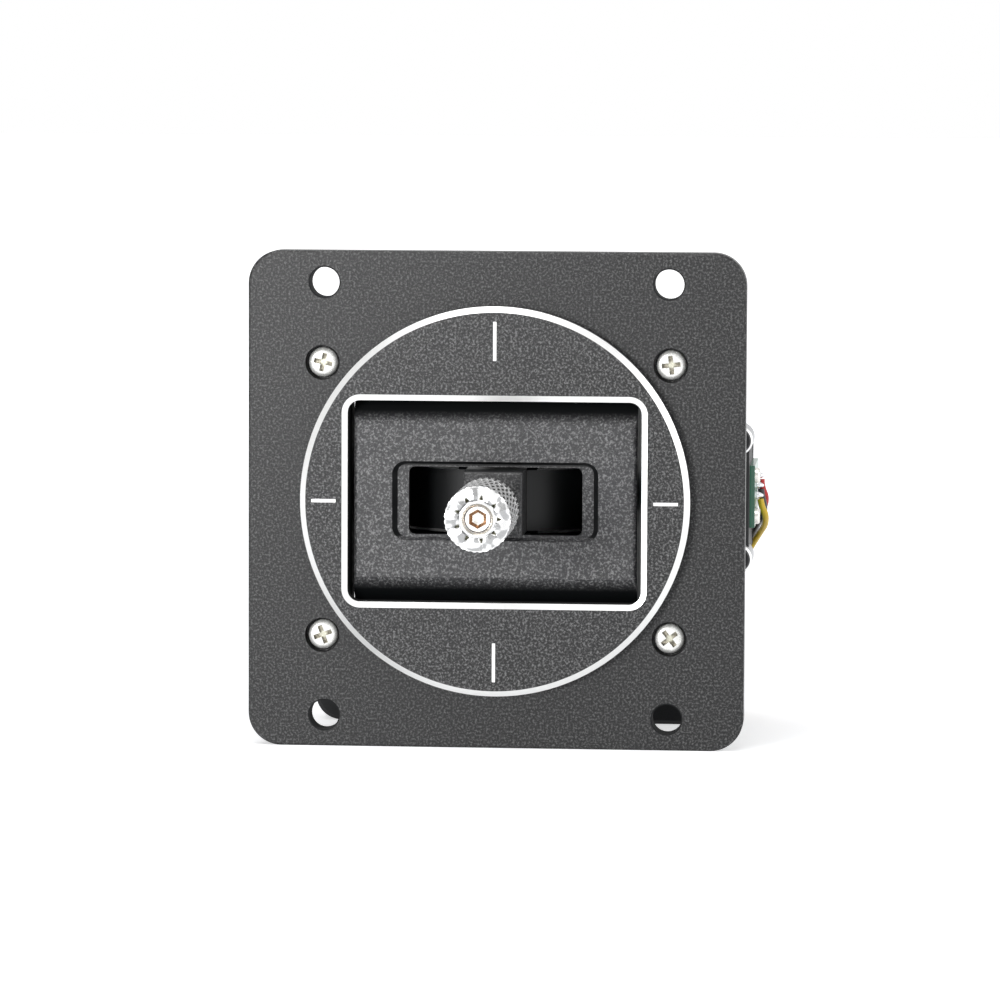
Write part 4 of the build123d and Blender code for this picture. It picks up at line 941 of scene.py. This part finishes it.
# Solder: height and radius of each level, and the face of the board
SOLDER_LEVELS = ((0.0, 0.45), (0.12, 0.44), (0.35, 0.37), (0.58, 0.27), (0.76, 0.16), (0.84, 0.05))
SOLDER_COUNT = 20
BOARD_X = 30.8


def soft_box(name, low, high, material, body, edge):
    """A block with rounded edges between two corners, in millimetres."""
    shape = bmesh.new()
    bmesh.ops.create_cube(shape, size=1.0)
    centre = (Vector(low) + Vector(high)) / 2
    size = Vector(high) - Vector(low)
    for vert in shape.verts:
        vert.co = centre + Vector(a * b for a, b in zip(vert.co, size))
    bmesh.ops.bevel(
        shape, geom=shape.edges[:], offset=edge, segments=3, profile=0.5, affect="EDGES"
    )
    verts = [vert.co.copy() for vert in shape.verts]
    faces = [[vert.index for vert in face.verts] for face in shape.faces]
    shape.free()
    piece(name, verts, faces, material, body, sharp=60.0)


def small_part(name, centre, along, out, body, ceramic, tin):
    """A surface-mount part: a body with a tinned cap on each end, by axis numbers along and out."""
    length, width, height = SMALL_SIZE
    half = [width / 2] * 3
    half[out], half[along] = height / 2, length / 2 * SMALL_BODY
    low = [c - h for c, h in zip(centre, half)]
    high = [c + h for c, h in zip(centre, half)]
    soft_box(f"{name}_body", low, high, ceramic, body, 0.05)
    for side, mark in ((-1, "a"), (1, "b")):
        cap_low, cap_high = list(low), list(high)
        edge = centre[along] + side * length / 2
        inner = centre[along] + side * length / 2 * SMALL_CAP
        cap_low[along], cap_high[along] = min(edge, inner), max(edge, inner)
        for axis in range(3):
            if axis != along:
                cap_low[axis] -= CAP_PROUD
                cap_high[axis] += CAP_PROUD
        soft_box(f"{name}_cap_{mark}", cap_low, cap_high, tin, body, 0.07)


def solder_blobs(spots, material):
    """Rounded cones of solder where the leads meet the board."""
    verts, faces = [], []
    for y, z in spots:
        first = len(verts)
        for height, radius in SOLDER_LEVELS:
            for step in range(SOLDER_COUNT):
                angle = 2 * math.pi * step / SOLDER_COUNT
                around, up = radius * math.cos(angle), radius * math.sin(angle)
                verts.append((BOARD_X + height, y + around, z + up))
        rings = ring_faces(len(SOLDER_LEVELS), SOLDER_COUNT)
        faces += [tuple(first + index for index in face) for face in rings]
        faces.append(tuple(range(len(verts) - SOLDER_COUNT, len(verts))))
        faces.append(tuple(range(first, first + SOLDER_COUNT))[::-1])
    piece(
        "solder_blobs", verts, faces, material, "frame", ["solder_joints"], sharp=50.0
    )


# Light and floor, in metres

# Name, place, side length and power of each soft light
LIGHTS = (
    ("key", (-0.24, -0.55, 0.08), 0.14, 2.0),
    ("top", (-0.15, -0.3, 0.85), 0.7, 4.5),
    ("side", (0.7, -0.25, 0.3), 0.5, 2.0),
)
WORLD_DIFFUSE = 0.3
WORLD_SEEN = 1.0
FLOOR_REACH = 4.0
FLOOR_GLOW = 0.5
GLOW_FROM = 0.15
GLOW_TO = 0.6


def area_light(name, place, side, power):
    """Soft light that faces the object."""
    data = bpy.data.lights.new(name, "AREA")
    data.shape = "RECTANGLE"
    data.size = data.size_y = side
    data.energy = power
    light = bpy.data.objects.new(name, data)
    light.location = place
    light.rotation_euler = (-Vector(place)).to_track_quat("-Z", "Y").to_euler()
    bpy.context.collection.objects.link(light)


def make_world():
    """White behind the object and in its gloss, and a plain level on matt surfaces."""
    world = bpy.data.worlds.new("studio")
    world.use_nodes = True
    nodes, links = world.node_tree.nodes, world.node_tree.links
    background = nodes["Background"]
    background.inputs["Color"].default_value = (1, 1, 1, 1)
    path = nodes.new("ShaderNodeLightPath")
    direct = nodes.new("ShaderNodeMath")
    direct.operation = "MAXIMUM"
    links.new(path.outputs["Is Camera Ray"], direct.inputs[0])
    links.new(path.outputs["Is Glossy Ray"], direct.inputs[1])
    any_ray = nodes.new("ShaderNodeMath")
    any_ray.operation = "MAXIMUM"
    links.new(direct.outputs[0], any_ray.inputs[0])
    links.new(path.outputs["Is Transmission Ray"], any_ray.inputs[1])
    power = nodes.new("ShaderNodeMapRange")
    links.new(any_ray.outputs[0], power.inputs["Value"])
    power.inputs["To Min"].default_value = WORLD_DIFFUSE
    power.inputs["To Max"].default_value = WORLD_SEEN
    links.new(power.outputs[0], background.inputs["Strength"])
    bpy.context.scene.world = world


def make_floor():
    """Pale floor that carries the shadow; its glow lifts it to the white of the backdrop."""
    data = bpy.data.meshes.new("floor")
    corners = [(-1, -1), (1, -1), (1, 1), (-1, 1)]
    verts = [(x * FLOOR_REACH, y * FLOOR_REACH, FLOOR_Z * MM) for x, y in corners]
    data.from_pydata(verts, [], [(0, 1, 2, 3)])
    floor = bpy.data.objects.new("floor", data)
    bpy.context.collection.objects.link(floor)
    s = Shader("floor_paint")
    s.set(Base_Color=(0.86, 0.87, 0.89), Roughness=0.9)
    far = s.spread(s.radius(s.x, s.y), GLOW_FROM, GLOW_TO)
    path = s.add("ShaderNodeLightPath").outputs
    seen = s.either(
        path["Is Camera Ray"], path["Is Glossy Ray"], path["Is Transmission Ray"]
    )
    s.set(
        Emission_Color=(1, 1, 1),
        Emission_Strength=s.math("MULTIPLY", seen, s.level(far, FLOOR_GLOW, 1.0)),
    )
    data.materials.append(s.material)


# Assembly


def dress(material, *nodes):
    """Gives CAD nodes a material."""
    for node in nodes:
        for slot in NODES[node].material_slots:
            slot.material = material


make_camera()
leads = {colour: make_lead(colour, *route) for colour, route in LEADS.items()}

plate_black = anodised("anodised_plate", plate_bare, plate_walls_and_shade, shade=plate_shade, wall=0.85)
yoke_black = anodised("anodised_yoke", smooth=yoke_smooth_and_shade, tone=1.1, lift=0.025)
block_black = anodised("anodised_block", smooth=block_top_shade, tone=0.6, lift=0.01)
drum_black = anodised("anodised_drum", drum_bare, drum_smooth)
frame_black = satin_black("satin_frame")
bracket_black = satin_black("satin_bracket", bracket_bare)
nickel = metal("nickel_plate", (0.84, 0.82, 0.78), (0.66, 0.63, 0.57), 0.3, (0.14, 0.26))
plate_nickel = screw_nickel("nickel_plate_screws")
post_grey = post_metal("post_metal")
ring_steel = metal(
    "ring_steel", (0.72, 0.72, 0.73), (0.5, 0.5, 0.52), 0.15, (0.18, 0.3), (0.05, 1.0, 1.0)
)
shaft_steel = metal(
    "shaft_steel", (0.66, 0.66, 0.68), (0.44, 0.44, 0.46), 0.12, (0.2, 0.36), (1.0, 0.1, 1.0)
)
wire_steel = metal("wire_steel", (0.62, 0.62, 0.64), (0.4, 0.4, 0.43), 0.2, (0.2, 0.34))
turned_metal = metal(
    "turned_aluminium", (0.88, 0.88, 0.87), (0.72, 0.73, 0.74), 0.15, (0.2, 0.34)
)
knurl_metal = knurled("knurled_aluminium")
stud_metal = stud_steel("stud_steel")
magnet_metal = metal("magnet_plate", (0.7, 0.7, 0.71), (0.52, 0.52, 0.54), 0.6, (0.1, 0.2))
contact_metal = metal("contact_plate", (0.8, 0.7, 0.46), (0.6, 0.5, 0.3), 0.2, (0.2, 0.3))
solder_tin = moulded(
    "solder_tin", (0.78, 0.79, 0.8), (0.6, 0.61, 0.63), 0.4, (0.18, 0.32), 0.02, 1.0
)
tilt_green = board_green(
    "board_tilt", [(12.6, 17.4, -0.45), (13.4, 19.0, 0.65), (14.2, 20.6, 1.75)], ("y", "z")
)
swing_green = board_green(
    "board_swing", [(-5.0, 5.0, 18.6), (-4.2, 4.2, 19.6), (-5.0, 5.0, 14.4)], ("x", "y")
)
chip_black = moulded(
    "chip_epoxy", (0.018, 0.018, 0.02), (0.035, 0.034, 0.034), 0.12, (0.45, 0.62)
)
ceramic = moulded("part_ceramic", (0.3, 0.2, 0.13), (0.22, 0.15, 0.1), 0.15, (0.4, 0.55))
nylon = moulded("plug_nylon", (0.86, 0.84, 0.79), (0.78, 0.76, 0.7), 0.5, (0.36, 0.5))
for colour, light, dark, rough in (
    ("yellow", (0.8, 0.56, 0.03), (0.7, 0.47, 0.02), (0.3, 0.42)),
    ("black", (0.02, 0.02, 0.022), (0.035, 0.034, 0.036), (0.28, 0.4)),
    ("red", (0.62, 0.025, 0.02), (0.5, 0.018, 0.018), (0.3, 0.42)),
):
    insulation = moulded(f"insulation_{colour}", light, dark, 0.8, rough)
    leads[colour].data.materials.append(insulation)

dress(plate_black, "face_plate")
dress(yoke_black, "yoke")
dress(block_black, "stick_block")
dress(drum_black, "stick_drum")
dress(frame_black, "main_frame", "tilt_cam", "swing_cam")
dress(bracket_black, "sensor_bracket")
dress(plate_nickel, "plate_screws")
dress(post_grey, "sensor_posts")
dress(
    nickel, "tilt_lever_screw", "tilt_anchor_screw", "swing_lever_screw", "swing_anchor_screw",
    "bracket_screws", "board_screws", "swing_posts",
)
dress(
    ring_steel, "tilt_outer_rings", "tilt_inner_rings", "swing_outer_rings", "swing_inner_rings"
)
dress(shaft_steel, "tilt_shaft_left", "tilt_shaft_right", "swing_pin", "hub_set_screw")
dress(
    turned_metal, "tilt_magnet_cup", "tilt_lever", "tilt_anchor", "swing_lever", "swing_anchor"
)
dress(magnet_metal, "tilt_magnet", "swing_magnet")
dress(tilt_green, "tilt_board")
dress(swing_green, "swing_board")
dress(chip_black, "tilt_chip", "swing_chip")
dress(nylon, "lead_plug")
dress(contact_metal, "plug_contacts")

make_crown(knurl_metal)
make_nut(knurl_metal)
make_rod(stud_metal)
make_lip_strip("yoke_lip_top", 1, yoke_black)
make_lip_strip("yoke_lip_bottom", -1, yoke_black)
make_spring(
    "tilt_coil", "tilt_spring", ends=((-28.2, 28.5, -12.0), (-28.2, 28.5, 7.0)),
    normal=Vector((1, 0, 0)), ring=1.0, stem=1.75, coil_r=1.5, wire=0.5, turns=24,
    material=wire_steel,
)
make_spring(
    "swing_coil", "swing_spring", ends=((12.0, 10.8, 17.6), (12.0, 22.45, 17.6)),
    normal=Vector((0, 0, 1)), ring=0.85, stem=1.65, coil_r=1.1, wire=0.4, turns=14,
    material=wire_steel,
)
solder_blobs([(17.6, -0.45), (19.2, 0.65), (20.8, 1.75)], solder_tin)
for name, centre, along, out, body in (
    ("tilt_part_1", (31.05, 15.2, 2.3), 1, 0, "frame"),
    ("tilt_part_2", (31.05, 14.6, -2.2), 1, 0, "frame"),
    ("swing_part_1", (3.9, 15.2, -17.75), 1, 2, "yoke"),
    ("swing_part_2", (-3.9, 17.4, -17.75), 1, 2, "yoke"),
):
    small_part(name, centre, along, out, body, ceramic, solder_tin)

make_floor()
make_world()
for light in LIGHTS:
    area_light(*light)
bpy.context.scene.view_settings.view_transform = "Standard"
